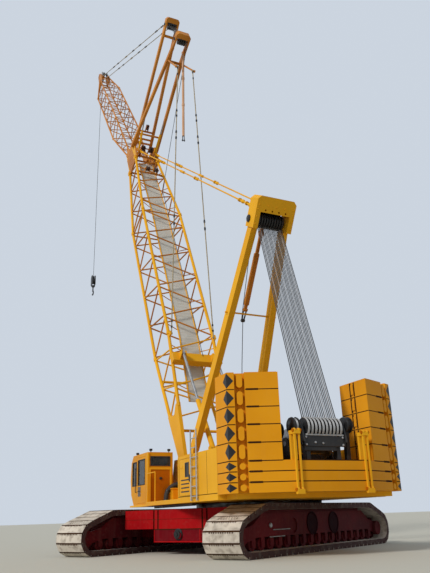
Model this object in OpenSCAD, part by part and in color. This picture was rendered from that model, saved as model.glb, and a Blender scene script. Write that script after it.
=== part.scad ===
// Lattice boom crawler crane with a luffing jib, standing with its upper works slewed over its tracks.
// Origin: the slewing axis at ground level. +Y is forward for the upper works, +Z is up. Millimetres.

/* [Tracks] */
// Overall length of a track
track_len = 9330; // [8900:10:9700]
// Distance between the middles of the two tracks
track_gauge = 6010; // [5900:10:6200]
// Height of a track over its shoes
track_h = 1380; // [1340:10:1395]
// Width of a track shoe
shoe_w = 1200; // [1100:10:1300]
// Thickness of the track, shoe and link together
track_t = 170; // [150:5:190]
// Number of shoes on one track
shoe_n = 66; // [60:1:72]
// Turn of the tracks under the upper works, clockwise seen from above
slew_deg = 62.6; // [0:0.1:90]

/* [Carbody] */
// Height of the underside of the carbody above the ground
carbody_z = 360; // [320:10:420]
// Distance of the outer face of a ballast slab from the slewing axis
ballast_y = 2800; // [2700:10:2900]
// Depth of a ballast slab, along the tracks
ballast_depth = 950; // [850:10:1000]
// Thickness of one ballast slab
ballast_t = 290; // [260:5:300]
// Outer diameter of the slewing ring
ring_d = 2500; // [2300:10:2700]

/* [Upper works] */
// Half width of the upper works
upper_hw = 2770; // [2740:10:2800]
// Height of the underside of the deck
deck_z = 1480; // [1460:5:1500]
// Thickness of the deck beam
deck_t = 130; // [110:5:150]
// Height of the top of the machinery houses
house_top = 2830; // [2780:10:2900]
// Front end of the left house
house_front = -1900; // [-2000:10:-1800]
// Rear end of both houses
house_rear = -4780; // [-4800:10:-4700]
// Wall thickness of the houses
house_wall = 40; // [30:5:60]
// Half distance between the inner faces of the main frame webs
web_x = 1290; // [1280:5:1320]

/* [Cab] */
// Left side of the cab, from the middle of the crane
cab_x = -2560; // [-2600:10:-2520]
// Width of the cab
cab_w = 970; // [900:10:1000]
// Rear wall of the cab
cab_y = 1600; // [1550:10:1700]
// Length of the cab at its widest
cab_l = 2000; // [1900:10:2100]
// Height of the cab over its floor
cab_h = 1800; // [1700:10:1850]
// Thickness of the cab walls
cab_wall = 45; // [35:5:60]

/* [Counterweight] */
// Distance of the rear face of the counterweight from the slewing axis
tail_r = 6195; // [6150:5:6250]
// Half width of the flat middle of the rear face
tail_flat = 1170; // [1100:10:1250]
// Angle of the outer thirds of the rear face
tail_angle = 22.9; // [18:0.1:26]
// Height of the underside of the counterweight
tail_z = 1610; // [1600:5:1620]
// Thickness of one full-width plate
plate_t = 265; // [250:5:280]
// Thickness of one block of the side stacks
block_t = 467; // [440:5:480]
// Number of blocks in a side stack
block_n = 5; // [4:1:6]
// Half width of the gap between the side stacks
stack_gap = 1470; // [1450:5:1550]
// Front face of the side stacks
stack_front = -4800; // [-4820:5:-4790]

/* [Boom] */
// Angle of the boom over the horizontal
boom_deg = 64.5; // [60:0.1:70]
// Place of the boom's foot pin along the upper works
foot_y = 1800; // [1750:10:1850]
// Height of the boom's foot pin
foot_z = 2900; // [2850:10:2950]
// Width of the boom between the middles of its chords
boom_w = 2080; // [1980:10:2120]
// Depth of the boom between the middles of its chords
boom_d = 1810; // [1700:10:1900]
// Diameter of a boom chord
chord_d = 140; // [125:5:155]
// Diameter of a boom lacing tube
lace_d = 70; // [60:2:80]
// Where the foot section ends, along the boom
foot_l = 5800; // [5700:50:5900]
// Where the boom starts to taper
taper_y = 14300; // [14000:50:14600]
// Where the taper ends
head_y = 20100; // [19900:50:20300]
// Width of the boom's head
head_w = 1300; // [1240:10:1360]
// Depth of the boom's head
head_d = 1150; // [1100:10:1250]

/* [Jib] */
// Angle of the jib over the horizontal
jib_deg = 53.7; // [50:0.1:58]
// Jib foot pin along the boom
jib_foot_y = 21260; // [21200:10:21300]
// Jib foot pin in front of the middle of the boom
jib_foot_d = 440; // [400:10:480]
// Length of the jib from its foot pin to its tip sheave
jib_l = 17000; // [16800:50:17200]
// Width of the jib between the middles of its chords
jib_w = 1400; // [1300:10:1450]
// Depth of the jib between the middles of its chords
jib_d = 1250; // [1150:10:1300]
// Diameter of a jib chord
jib_chord_d = 100; // [90:5:110]
// Length of the jib struts
strut_l = 7200; // [7000:50:7400]

/* [A-frame] */
// Place of the foot pins along the upper works
a_foot_y = 760; // [740:10:780]
// Height of the foot pins
a_foot_z = 3000; // [2950:10:3050]
// Lean of the A-frame over the horizontal
a_deg = 120.5; // [119:0.1:122]
// Length from foot pin to the middle of the head
a_l = 9250; // [9100:10:9400]
// Half distance between the legs at the foot
a_foot_x = 1160; // [1140:5:1180]
// Half distance between the legs at the head
a_head_x = 600; // [560:5:620]

/* [Hoist] */
// Radius of the sheave at the jib's tip
tip_r = 420; // [380:10:450]
// Length of the hoist rope below the tip sheave
rope_l = 17600; // [17000:50:18000]
// Diameter of the hoist and luffing ropes
rope_d = 30; // [26:1:36]

/* [Hidden] */

YELLOW = "#f2a900";
DARK_YELLOW = "#d98a00";
LACING = "#c8661a";
RED = "#c4161c";
MAROON = "#5a1018";
SHOE = "#b9b2a4";
BLACK = "#1c1c1e";
STEEL = "#8d9094";
GLASS = "#26343d";

// Gap between pieces of two bodies that pass each other
run_gap = 20;
// Gap between a pin or eye and the fork beside it
pin_gap = 10;
// How much wider a bore is than the pin or rod in it
bore_play = 0.6;
// Gap between pieces that bear on each other
rest_gap = 0.3;

// A straight round bar from a to b, with a given number of sides, turned round itself by spin
module bar(a, b, d, sides = 24, spin = 0) {
    v = b - a;
    len = norm(v);
    translate(a) rotate([0, acos(v[2] / len), atan2(v[1], v[0])]) rotate([0, 0, spin])
        cylinder(d = d, h = len, $fn = sides);
}

// A box given by its lowest and highest corners
module block(lo, hi) {
    translate(lo) cube(hi - lo);
}

// The same shape on the left and on the right
module both() {
    children();
    mirror([1, 0, 0]) children();
}

// A round pin along X, by its middle
module pin_x(at, d, len) {
    translate(at) rotate([0, 90, 0]) cylinder(d = d, h = len, center = true, $fn = 32);
}

// An outline in the YZ plane, given thickness along X from x0
module side_plate(x0, t) {
    translate([x0, 0, 0]) rotate([90, 0, 90]) linear_extrude(t) children();
}

// Tracks. u runs along the track, z up

wheel_r = 530;
wheel_u = track_len / 2 - wheel_r;
top_u = 3300;
slope_d = norm([wheel_u - top_u, track_h - wheel_r]);
// Slope of the track between the top run and the end wheel
slope_a = atan2(track_h - wheel_r, wheel_u - top_u) - asin(wheel_r / slope_d);
slope_l = sqrt(slope_d * slope_d - wheel_r * wheel_r);
arc_a = 180 - slope_a;
arc_l = wheel_r * arc_a * PI / 180;
loop_l = 2 * wheel_u + 2 * arc_l + 2 * slope_l + 2 * top_u;
shoe_pitch = loop_l / shoe_n;

// Point and outward direction at a length s along half of the loop, from the middle of the bottom
// run to the middle of the top run
function half_loop(s) =
    s < wheel_u ? [s, 0, -90] :
    s < wheel_u + arc_l ?
        let (a = -90 + (s - wheel_u) / wheel_r * 180 / PI)
            [wheel_u + wheel_r * cos(a), wheel_r + wheel_r * sin(a), a] :
    s < wheel_u + arc_l + slope_l ?
        let (q = s - wheel_u - arc_l)
            [wheel_u + wheel_r * sin(slope_a) - q * cos(slope_a),
             wheel_r + wheel_r * cos(slope_a) + q * sin(slope_a), 90 - slope_a] :
    [top_u - (s - wheel_u - arc_l - slope_l), track_h, 90];

function loop_at(s) =
    let (m = (s + 2 * loop_l) % loop_l)
        m <= loop_l / 2 ? half_loop(m) :
            let (h = half_loop(loop_l - m)) [-h[0], h[1], 180 - h[2]];

// A point a depth below the outer face of the loop
function loop_point(s, depth) =
    let (h = loop_at(s)) [h[0] - depth * cos(h[2]), h[1] - depth * sin(h[2])];

shoe_gap = 34;
shoe_notch = 60;

module loop_outline() {
    difference() {
        polygon([for (i = [0 : shoe_n - 1], k = [0 : 3])
            let (s0 = i * shoe_pitch)
                k == 0 ? loop_point(s0 + shoe_gap / 2, 0) :
                k == 1 ? loop_point(s0 + shoe_pitch - shoe_gap / 2, 0) :
                k == 2 ? loop_point(s0 + shoe_pitch - shoe_gap / 2, shoe_notch) :
                         loop_point(s0 + shoe_pitch + shoe_gap / 2, shoe_notch)]);
        polygon([for (i = [0 : shoe_n - 1]) loop_point((i + 0.5) * shoe_pitch, track_t)]);
    }
}

// Places a piece drawn for the right-hand track, in u along +Y
module on_track(side) {
    rotate([0, 0, -slew_deg]) translate([side * track_gauge / 2, 0, 0]) children();
}

module track(side) {
    color(SHOE) on_track(side) side_plate(-shoe_w / 2, shoe_w) loop_outline();
}

frame_w = 620;
frame_z0 = 505;
frame_z1 = 1130;
frame_u = 3740;
roller_n = 17;
roller_r = 165;
roller_span = 7200;
hanger_t = 60;
hanger_w = 170;
end_shaft_d = 300;
end_boss_d = 460;
// Radius that fits inside the chords of the track where it wraps an end wheel
inner_r = (wheel_r - track_t) * cos(shoe_pitch / wheel_r * 90 / PI) - 4;

module track_frames() {
    color(MAROON) for (side = [-1, 1]) on_track(side) {
        difference() {
            side_plate(-frame_w / 2, frame_w)
                polygon([[-3650, frame_z0], [3650, frame_z0], [frame_u, 600], [3500, 900], [3100, frame_z1],
                    [-3100, frame_z1], [-3500, 900], [-frame_u, 600]]);
            for (x = [-1, 1]) for (u = [-1500, 900])
                pin_x([x * frame_w / 2, u, 770], 420, 80);
        }
        // Hangers for the rollers, on both sides of them
        for (x = [-1, 1]) for (i = [0 : roller_n - 1])
            block([x * (frame_w - hanger_t) / 2 - hanger_t / 2, roller_u(i) - hanger_w / 2, track_t + roller_r - 70],
                [x * (frame_w - hanger_t) / 2 + hanger_t / 2, roller_u(i) + hanger_w / 2, frame_z0 + 20]);
        // Plates that carry the end wheels
        for (s = [-1, 1]) for (x = [-1, 1]) difference() {
            union() {
                side_plate(x * (frame_w - hanger_t) / 2 - hanger_t / 2, hanger_t)
                    polygon([[s * 3400, frame_z0 + 5], [s * wheel_u, wheel_r - 180], [s * wheel_u, wheel_r + 180],
                        [s * 3400, 880]]);
                pin_x([x * (frame_w - hanger_t) / 2, s * wheel_u, wheel_r], end_boss_d, hanger_t);
            }
            pin_x([0, s * wheel_u, wheel_r], end_shaft_d + bore_play, 2 * frame_w);
        }
        // Slide pads under the top run
        for (u = [-2100, 0, 2100])
            block([-110, u - 200, frame_z1 - 10], [110, u + 200, track_h - track_t - rest_gap]);
    }
}

function roller_u(i) = -roller_span / 2 + roller_span * i / (roller_n - 1);

module rollers() {
    color(MAROON) for (side = [-1, 1]) on_track(side) {
        for (i = [0 : roller_n - 1])
            pin_x([0, roller_u(i), track_t + roller_r], 2 * (roller_r - rest_gap),
                frame_w - 2 * hanger_t - 2 * rest_gap);
        // Toothed drive wheel and plain idler at the ends, with their shafts
        translate([0, wheel_u, wheel_r]) rotate([0, 90, 0]) {
            linear_extrude(260, center = true) sprocket_outline();
            cylinder(d = end_shaft_d, h = frame_w + 40, center = true, $fn = 32);
            for (x = [-1, 1]) translate([0, 0, x * (frame_w / 2 + 50)])
                cylinder(d = end_boss_d, h = 100 - 2 * rest_gap, center = true, $fn = 32);
        }
        pin_x([0, -wheel_u, wheel_r], 2 * inner_r, 300);
        pin_x([0, -wheel_u, wheel_r], end_shaft_d, frame_w + 40);
    }
}

tooth_n = 14;

module sprocket_outline() {
    r = inner_r;
    polygon([for (i = [0 : tooth_n - 1], k = [[-0.25, r - 60], [-0.12, r], [0.12, r], [0.25, r - 60]])
        let (a = (i + k[0]) * 360 / tooth_n) [k[1] * cos(a), k[1] * sin(a)]]);
}

// Carbody between the tracks

body_z1 = 1180;
body_hw = track_gauge / 2 - frame_w / 2;

module carbody() {
    color(RED) rotate([0, 0, -slew_deg]) {
        difference() {
            union() {
                block([-1450, -1500, carbody_z], [1450, 1500, body_z1]);
                // Two cross beams to the track frames
                for (s = [-1, 1])
                    block([-body_hw, s * 1250 - 420, carbody_z + 110], [body_hw, s * 1250 + 420, body_z1 - 60]);
                // Beams that carry the ballast
                for (s = [-1, 1])
                    block([-1090, s * 1900 - 880, carbody_z], [1090, s * 1900 + 880, ballast_z0]);
            }
            translate([0, 0, carbody_z - 1]) cylinder(d = 1500, h = 400, $fn = 48);
        }
        // Drum that carries the slewing ring
        translate([0, 0, body_z1 - 5]) cylinder(d = ring_d + 60, h = ring_z - body_z1 + 5, $fn = 64);
        for (s = [-1, 1]) translate([0, s * 2780, 560]) rotate([90, 0, 0])
            cylinder(d = 190, h = 150, center = true, $fn = 32);
    }
}

ballast_z0 = 755;
ring_z = 1300;
groove_x = 1000;
// Half length of a ballast slab, up to the tracks' shoes
ballast_hw = track_gauge / 2 - shoe_w / 2 - 15;
groove_w = 60;

// A slab whose upper edges are cut back all round, so that a seam shows over it
module slab(lo, hi, cut, depth) {
    block(lo, hi - [0, 0, cut]);
    block(lo + [depth, depth, 0], hi - [depth, depth, 0]);
}

module ballast() {
    color(RED) rotate([0, 0, -slew_deg])
        for (s = [-1, 1]) for (k = [0, 1])
            difference() {
                slab([-ballast_hw, min(s * ballast_y, s * (ballast_y - ballast_depth)), ballast_z0 + k * ballast_t],
                    [ballast_hw, max(s * ballast_y, s * (ballast_y - ballast_depth)), ballast_z0 + (k + 1) * ballast_t],
                    10, 30);
                for (x = [-1, 1]) for (g = [-90, 90])
                    translate([x * groove_x + g, s * ballast_y, ballast_z0 + (k + 0.5) * ballast_t])
                        cube([groove_w, 120, 2 * ballast_t], center = true);
            }
}

module slew_ring() {
    color(STEEL) translate([0, 0, ring_z]) difference() {
        cylinder(d = ring_d, h = deck_z - ring_z - rest_gap, $fn = 96);
        translate([0, 0, -1]) cylinder(d = ring_d - 400, h = deck_z - ring_z + 2, $fn = 96);
    }
}

// Upper works

web_t = 60;
frame_rear = -4700;
foot_pin_d = 160;
a_pin_d = 140;
shaft_d = 150;
back_pin_d = 90;

module main_frame() {
    color(YELLOW) {
        both() difference() {
            side_plate(web_x, web_t)
                polygon([[frame_rear, deck_z + deck_t], [2300, deck_z + deck_t], [2300, 2300],
                    [foot_y + 260, foot_z + 190], [foot_y - 260, foot_z + 190], [foot_y - 420, 2650],
                    [a_foot_y + 330, 2650], [a_foot_y + 210, a_foot_z + 190], [a_foot_y - 210, a_foot_z + 190],
                    [-100, 2650], [-4300, 2300], [frame_rear, 2300]]);
            pin_x([web_x, foot_y, foot_z], foot_pin_d + bore_play, 400);
            pin_x([web_x, a_foot_y, a_foot_z], a_pin_d + bore_play, 400);
            pin_x([web_x, hoist_y, hoist_z], shaft_d + bore_play, 400);
        }
        // Cross walls between the webs
        for (c = [[2180, 2300], [-200, 2500], [-2400, 2300]])
            block([-web_x - 5, c[0], deck_z + deck_t], [web_x + 5, c[0] + 60, c[1]]);
        // Feet of the backstops
        for (x = [-1, 1]) for (g = [-1, 1]) difference() {
            side_plate(x * back_x + g * back_gap - 15, 30)
                polygon([[-520, 2480], [-140, 2480], [back_y + 120, back_z + 60], [back_y, back_z + 130],
                    [back_y - 120, back_z + 60]]);
            pin_x([x * back_x, back_y, back_z], back_pin_d + bore_play, 400);
        }
        block([-web_x - 5, -520, 2420], [web_x + 5, -140, 2500]);
    }
}

module deck() {
    color(YELLOW) {
        // Floor over the slewing ring, and the beams round it
        block([-web_x - web_t, frame_rear, deck_z], [web_x + web_t, 2300, deck_z + deck_t]);
        both() block([web_x + web_t, house_rear, deck_z], [upper_hw, 1150, deck_z + deck_t]);
        // Arm and floor under the cab
        block([cab_x - 60, 1150, deck_z], [-web_x - web_t, cab_y + cab_l - 150, deck_z + 60]);
        // Tail beams under the counterweight
        block([-upper_hw + 250, tail_y(upper_hw) + 130, deck_z], [upper_hw - 250, house_rear, tail_z]);
    }
}

// Rear face of the counterweight at a distance x from the middle
function tail_y(x) = -tail_r + max(0, abs(x) - tail_flat) * tan(tail_angle);

module houses() {
    color(YELLOW) house(-1, house_front);
    color(YELLOW) house(1, right_front);
}

right_front = 900;
door_l = 880;
door_pin_d = 16;
door_edge = 130;
door_z0 = deck_z + deck_t + 60;
door_z1 = house_top - 90;

module house(side, front) {
    x0 = web_x + web_t + 60;
    z0 = deck_z + deck_t;
    scale([side, 1, 1]) difference() {
        block([x0, house_rear, z0], [upper_hw, front, house_top]);
        block([x0 + house_wall, house_rear + house_wall, z0 + house_wall],
            [upper_hw - house_wall, front - house_wall, house_top - house_wall]);
        // Door opening, and the bores for the door's pivots
        block([upper_hw - 2 * house_wall, front - door_edge - door_l, door_z0],
            [upper_hw + 1, front - door_edge, door_z1]);
        translate([upper_hw - house_wall / 2, front - door_edge - pin_gap - house_wall / 2, door_z0 - 25])
            cylinder(d = door_pin_d + bore_play, h = door_z1 - door_z0 + 50, $fn = 24);
    }
}

module house_door(side, front) {
    z0 = door_z0 + pin_gap;
    z1 = door_z1 - pin_gap;
    yh = front - door_edge - pin_gap - house_wall / 2;
    y0 = front - door_edge - door_l + pin_gap;
    color(YELLOW) scale([side, 1, 1]) difference() {
        union() {
            block([upper_hw - house_wall, y0, z0], [upper_hw, yh, z1]);
            translate([upper_hw - house_wall / 2, yh, z0]) cylinder(d = house_wall, h = z1 - z0, $fn = 32);
            translate([upper_hw - house_wall / 2, yh, z0 - pin_gap - 20])
                cylinder(d = door_pin_d, h = z1 - z0 + 2 * pin_gap + 40, $fn = 24);
        }
        block([upper_hw - 15, y0 + 110, z1 - 520], [upper_hw + 1, y0 + 390, z1 - 120]);
        for (k = [0 : 3])
            block([upper_hw - 12, y0 + 100, z0 + 90 + k * 110], [upper_hw + 1, yh - 100, z0 + 130 + k * 110]);
    }
}

module engine() {
    color(STEEL) block([web_x + web_t + 200, -3300, deck_z + deck_t + house_wall], [upper_hw - 200, -900, 2500]);
}

// Cab

module cab_outline() {
    polygon([[0, 0], [cab_l - 420, 0], [cab_l - 100, 380], [cab_l, 900], [cab_l - 90, cab_h - 260],
        [cab_l - 330, cab_h], [0, cab_h]]);
}

module cab_place() {
    translate([cab_x, cab_y, deck_z + 60]) children();
}

module cab_shell() {
    color(DARK_YELLOW) cab_place() difference() {
        rotate([90, 0, 90]) linear_extrude(cab_w) cab_outline();
        // Hollow room
        translate([cab_wall, 0, 0]) rotate([90, 0, 90]) linear_extrude(cab_w - 2 * cab_wall)
            offset(delta = -cab_wall) cab_outline();
        // Rear window, side windows, front window and door opening
        block([120, -1, 1330], [cab_w - 120, cab_wall + 1, 1640]);
        block([cab_w - cab_wall - 1, 150, 900], [cab_w + 1, 1350, 1640]);
        block([-1, cab_door_y0, cab_door_z0], [cab_wall + 1, cab_door_y1, cab_door_z1]);
        translate([cab_wall / 2, cab_door_y0 + cab_door_gap + cab_wall / 2, cab_door_z0 - 20])
            cylinder(d = door_pin_d + bore_play, h = cab_door_z1 - cab_door_z0 + 40, $fn = 24);
        block([-1, 1260, 700], [cab_wall + 1, cab_l - 260, 1540]);
        block([cab_wall + 30, cab_l - 340, 330], [cab_w - cab_wall - 30, cab_l + 1, cab_h - 130]);
    }
}

cab_door_y0 = 180;
cab_door_y1 = 1180;
cab_door_z0 = 60;
cab_door_z1 = 1680;
cab_door_gap = 6;

module cab_glass() {
    g = rest_gap;
    color(GLASS) cab_place() {
        block([120 + g, 12, 1330 + g], [cab_w - 120 - g, 24, 1640 - g]);
        block([cab_w - 24, 150 + g, 900 + g], [cab_w - 12, 1350 - g, 1640 - g]);
        block([12, 1260 + g, 700 + g], [24, cab_l - 260 - g, 1540 - g]);
        // Bent front pane
        intersection() {
            translate([cab_wall + 30 + g, 0, 0]) rotate([90, 0, 90]) linear_extrude(cab_w - 2 * cab_wall - 60 - 2 * g)
                difference() {
                    offset(delta = -8) cab_outline();
                    offset(delta = -22) cab_outline();
                }
            block([0, cab_l - 340 + g, 330 + g], [cab_w, cab_l + 10, cab_h - 130 - g]);
        }
    }
}

module cab_door() {
    yh = cab_door_y0 + cab_door_gap + cab_wall / 2;
    z0 = cab_door_z0 + cab_door_gap;
    z1 = cab_door_z1 - cab_door_gap;
    color(DARK_YELLOW) cab_place() difference() {
        union() {
            block([0, yh, z0], [cab_wall, cab_door_y1 - cab_door_gap, z1]);
            translate([cab_wall / 2, yh, z0]) cylinder(d = cab_wall, h = z1 - z0, $fn = 32);
            translate([cab_wall / 2, yh, z0 - cab_door_gap - 15])
                cylinder(d = door_pin_d, h = z1 - z0 + 2 * cab_door_gap + 30, $fn = 24);
        }
        block([-1, 300, 700], [cab_wall + 1, 1080, 1580]);
    }
}

module cab_seat() {
    color(BLACK) cab_place() {
        block([250, 500, cab_wall], [cab_w - 250, 1000, 420]);
        block([220, 450, 420], [cab_w - 220, 1020, 540]);
        block([240, 330, 500], [cab_w - 240, 460, 1180]);
        block([cab_wall + 60, 1250, cab_wall], [cab_w - cab_wall - 60, 1450, 520]);
    }
}

ladder_y = [-3500, -3080];

module access() {
    color(STEEL) {
        // Ladder on the left house
        for (y = ladder_y) bar([-upper_hw - 60, y, deck_z + 30], [-upper_hw - 60, y, house_top + 670], 44, 16);
        for (k = [0 : 6])
            bar([-upper_hw - 60, ladder_y[0], deck_z + 150 + k * 270],
                [-upper_hw - 60, ladder_y[1], deck_z + 150 + k * 270], 30, 12);
        for (y = ladder_y) for (z = [deck_z + 60, 2700])
            bar([-upper_hw - 60, y, z], [-upper_hw, y, z], 24, 12);
        // Rail round the cab platform
        for (c = [[700, deck_z + deck_t], [1500, deck_z + 60]])
            bar([cab_x - 30, c[0], c[1]], [cab_x - 30, c[0], deck_z + 1100], 36, 16);
        bar([cab_x - 30, 700, deck_z + 1100], [cab_x - 30, 1500, deck_z + 1100], 36, 16);
    }
}

// Counterweight

// Outline of a plate or block from above, cut back by a margin all round
module tail_outline(x0, x1, front, m = 0) {
    xs = concat([x0 + m], x0 < -tail_flat ? [-tail_flat] : [],
        x1 > tail_flat && x0 < tail_flat ? [tail_flat] : [], [x1 - m]);
    polygon(concat([for (x = xs) [x, tail_y(x) + m]], [[x1 - m, front - m], [x0 + m, front - m]]));
}

lug_x = 2445;
lug_w = 160;
recess_w = 280;
recess_depth = 170;
lug_set_back = 10;
seam = 12;
seam_depth = 25;

// A plate or block with a seam cut in its upper edge
module tail_slab(x0, x1, front, t) {
    linear_extrude(t - seam) tail_outline(x0, x1, front);
    linear_extrude(t) tail_outline(x0, x1, front, seam_depth);
}

// Places a shape on the angled rear face: X along the face, Y inwards
module on_tail_face(z) {
    translate([lug_x, tail_y(lug_x), z]) rotate([0, 0, tail_angle]) children();
}

// Recess for a lifting lug, on the angled rear face
module tail_recess(z, t) {
    on_tail_face(z) translate([-recess_w / 2, -60, -1]) cube([recess_w, recess_depth + 60, t + 2]);
}

// Rounded upright lug that stands in the recess
module tail_lug(z, t) {
    h = t - 100;
    on_tail_face(z + (t - seam) / 2) translate([0, recess_depth + 1, 0]) rotate([90, 0, 0])
        linear_extrude(recess_depth + 1 - lug_set_back) {
            square([lug_w, h - lug_w + 1], center = true);
            for (s = [-1, 1]) translate([0, s * (h - lug_w) / 2]) circle(d = lug_w, $fn = 32);
        }
}

module tail_plates() {
    color(YELLOW) for (k = [0 : 2]) {
        z = tail_z + k * plate_t;
        difference() {
            translate([0, 0, z]) tail_slab(-upper_hw, upper_hw, house_rear - 20, plate_t);
            both() tail_recess(z, plate_t);
        }
        both() tail_lug(z, plate_t);
    }
}

stack_z = tail_z + 3 * plate_t;

module side_stacks() {
    color(YELLOW) both() for (k = [0 : block_n - 1]) {
        z = stack_z + k * block_t;
        difference() {
            translate([0, 0, z]) tail_slab(stack_gap, upper_hw, stack_front, block_t);
            tail_recess(z, block_t);
        }
        tail_lug(z, block_t);
    }
}

module tie_straps() {
    color(YELLOW) both() {
        for (g = [-1, 1])
            block([tail_flat - 60 + g * 65 - 22, -tail_r - 60, tail_z + 20],
                [tail_flat - 60 + g * 65 + 22, -tail_r, 3150]);
        block([tail_flat - 170, -tail_r - 90, tail_z - 60], [tail_flat + 50, -tail_r, tail_z + 60]);
        block([tail_flat - 160, -tail_r - 80, 3060], [tail_flat + 40, -tail_r + 200, 3160]);
        block([tail_flat - 150, -tail_r + 120, stack_z], [tail_flat + 30, -tail_r + 200, 3100]);
    }
}

// Luffing gear at the tail

block_y = -5700;
block_z = 3300;
block_hw = 720;
sheave_r = 270;

module rope_block() {
    color(BLACK) {
        block([-block_hw, block_y - 140, 2830], [block_hw, block_y + 140, 3010]);
        for (x = [-1, 1]) side_plate(x * (block_hw - 30) - 30, 60)
            polygon([[block_y - 260, 2900], [block_y + 260, 2900], [block_y + 130, block_z + 180],
                [block_y - 130, block_z + 180]]);
        pin_x([0, block_y, block_z], 110, 2 * block_hw);
        for (i = [0 : 9])
            pin_x([(i - 4.5) * 118, block_y, block_z], 2 * sheave_r, 60);
        for (x = [-1, 1]) block([x * 500 - 60, block_y - 100, stack_z], [x * 500 + 60, block_y + 100, 2840]);
        // Cheeks of the luffing drum
        for (x = [-1, 1]) difference() {
            side_plate(x * 690 - 25, 50)
                polygon([[drum_y - 330, stack_z], [drum_y + 120, stack_z], [drum_y + 160, drum_z + 60],
                    [drum_y + 60, drum_z + 160], [drum_y - 60, drum_z + 160], [drum_y - 160, drum_z + 60]]);
            pin_x([x * 690, drum_y, drum_z], shaft_d + bore_play, 100);
        }
    }
}

drum_y = -4950;
drum_z = 2950;

module luff_drum() {
    color(STEEL) {
        pin_x([0, drum_y, drum_z], 560, 1200);
        for (x = [-1, 1]) pin_x([x * 600, drum_y, drum_z], 820, 50);
        pin_x([0, drum_y, drum_z], shaft_d, 1440);
    }
}

// Ropes from the block to the A-frame's head
module luff_ropes() {
    color(STEEL) for (i = [0 : 19]) {
        x = (i - 9.5) * 59;
        a = [x, block_y, block_z + sheave_r + 5];
        c = a_point(x * 0.85, a_sheave_l, a_sheave_h);
        bar(a, c - (c - a) / norm(c - a) * (sheave_r + 15), rope_d, 8);
    }
}

hoist_y = -1300;
hoist_z = 2350;

module hoist_drums() {
    color(STEEL) {
        pin_x([0, hoist_y, hoist_z], 700, 1900);
        for (x = [-1, 1]) pin_x([x * 950, hoist_y, hoist_z], 1000, 50);
        pin_x([0, hoist_y, hoist_z], shaft_d, 2 * (web_x + web_t) - 10);
    }
}

// A-frame. Its own Y runs from the foot pins to the head, its own Z is its upper face

function a_point(x, l, h) =
    [x, a_foot_y + l * cos(a_deg) - h * sin(a_deg), a_foot_z + l * sin(a_deg) + h * cos(a_deg)];

module on_a_frame() {
    translate([0, a_foot_y, a_foot_z]) rotate([a_deg, 0, 0]) children();
}

leg_w = 240;
leg_d = 330;

a_head_l = a_l - 700;

module a_frame() {
    color(YELLOW) on_a_frame() {
        both() {
            hull() {
                translate([a_foot_x - leg_w / 2 + 10, 400, -leg_d / 2]) cube([leg_w - 20, 10, leg_d]);
                translate([a_head_x - leg_w / 2 + 10, a_head_l - 10, -leg_d / 2]) cube([leg_w - 20, 10, leg_d]);
            }
            block([a_foot_x - 90, 0, -150], [a_foot_x + 90, 500, 150]);
            pin_x([a_foot_x, 0, 0], 300, 180);
            pin_x([(a_foot_x + web_x + web_t + 20) / 2, 0, 0], a_pin_d, web_x + web_t + 20 - a_foot_x);
        }
        // Cross tube
        bar([-a_foot_x + 150, 5500, 0], [a_foot_x - 150, 5500, 0], 60, 24);
    }
}

pend_x = 480;
ear_gap = 75;
ear_t = 30;
a_sheave_l = a_l - 420;
a_sheave_h = -110;

module a_head() {
    color(YELLOW) on_a_frame() {
        difference() {
            translate([0, 0, -260]) linear_extrude(590)
                polygon([[-a_head_x - 150, a_head_l], [a_head_x + 150, a_head_l], [a_head_x + 150, a_l + 300],
                    [a_head_x + 30, a_l + 420], [-a_head_x - 30, a_l + 420], [-a_head_x - 150, a_l + 300]]);
            block([-a_head_x + 30, a_head_l - 100, -300], [a_head_x - 30, a_l + 250, 180]);
            // The sheaves show below the rear plate, which has a row of holes over them
            block([-a_head_x + 30, a_head_l - 100, 100], [a_head_x - 30, a_l - 130, 400]);
            for (x = [-390, -130, 130, 390]) translate([x, a_l - 50, 100]) cylinder(d = 70, h = 300, $fn = 24);
        }
        // Ears for the boom pendants
        for (x = [-1, 1]) for (g = [-1, 1])
            side_plate(x * pend_x + g * ear_gap - ear_t / 2, ear_t)
                polygon([[a_l - 140, 190], [a_l + 260, 190], [a_l + 110, -560], [a_l - 110, -560]]);
    }
    color(BLACK) on_a_frame() {
        pin_x([0, a_sheave_l, a_sheave_h], 110, 2 * a_head_x + 60);
        for (i = [0 : 9]) pin_x([(i - 4.5) * 100, a_sheave_l, a_sheave_h], 2 * sheave_r, 56);
    }
}

// Boom. Its own Y runs along the boom, its own Z to its rear face

module on_boom() {
    translate([0, foot_y, foot_z]) rotate([boom_deg, 0, 0]) children();
}

function boom_point(x, l, h) =
    [x, foot_y + l * cos(boom_deg) - h * sin(boom_deg), foot_z + l * sin(boom_deg) + h * cos(boom_deg)];

// Half width and half depth of a lattice at a length along it
function mix(a, b, t) = a + (b - a) * t;

// Four chords and four laced faces between two square ends, [y, width, depth, height of the middle]
module lattice(e0, e1, panels, chord, lace) {
    inset = chord * 0.3;
    function corner(k, t) =
        [(k == 0 || k == 3 ? -1 : 1) * mix(e0[1], e1[1], t) / 2, mix(e0[0], e1[0], t),
         (k < 2 ? -1 : 1) * mix(e0[2], e1[2], t) / 2 + mix(e0[3], e1[3], t)];
    for (k = [0 : 3]) bar(corner(k, 0), corner(k, 1), chord, 24, 45);
    for (k = [0 : 3]) for (i = [0 : panels - 1]) {
        flip = (i + k) % 2;
        gap = 0.85 * lace / (e1[0] - e0[0]);
        a = corner(flip == 0 ? k : (k + 1) % 4, i / panels + gap);
        b = corner(flip == 0 ? (k + 1) % 4 : k, (i + 1) / panels - gap);
        dir = (b - a) / norm(b - a);
        bar(a + dir * inset, b - dir * inset, lace, 8);
    }
}

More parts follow.
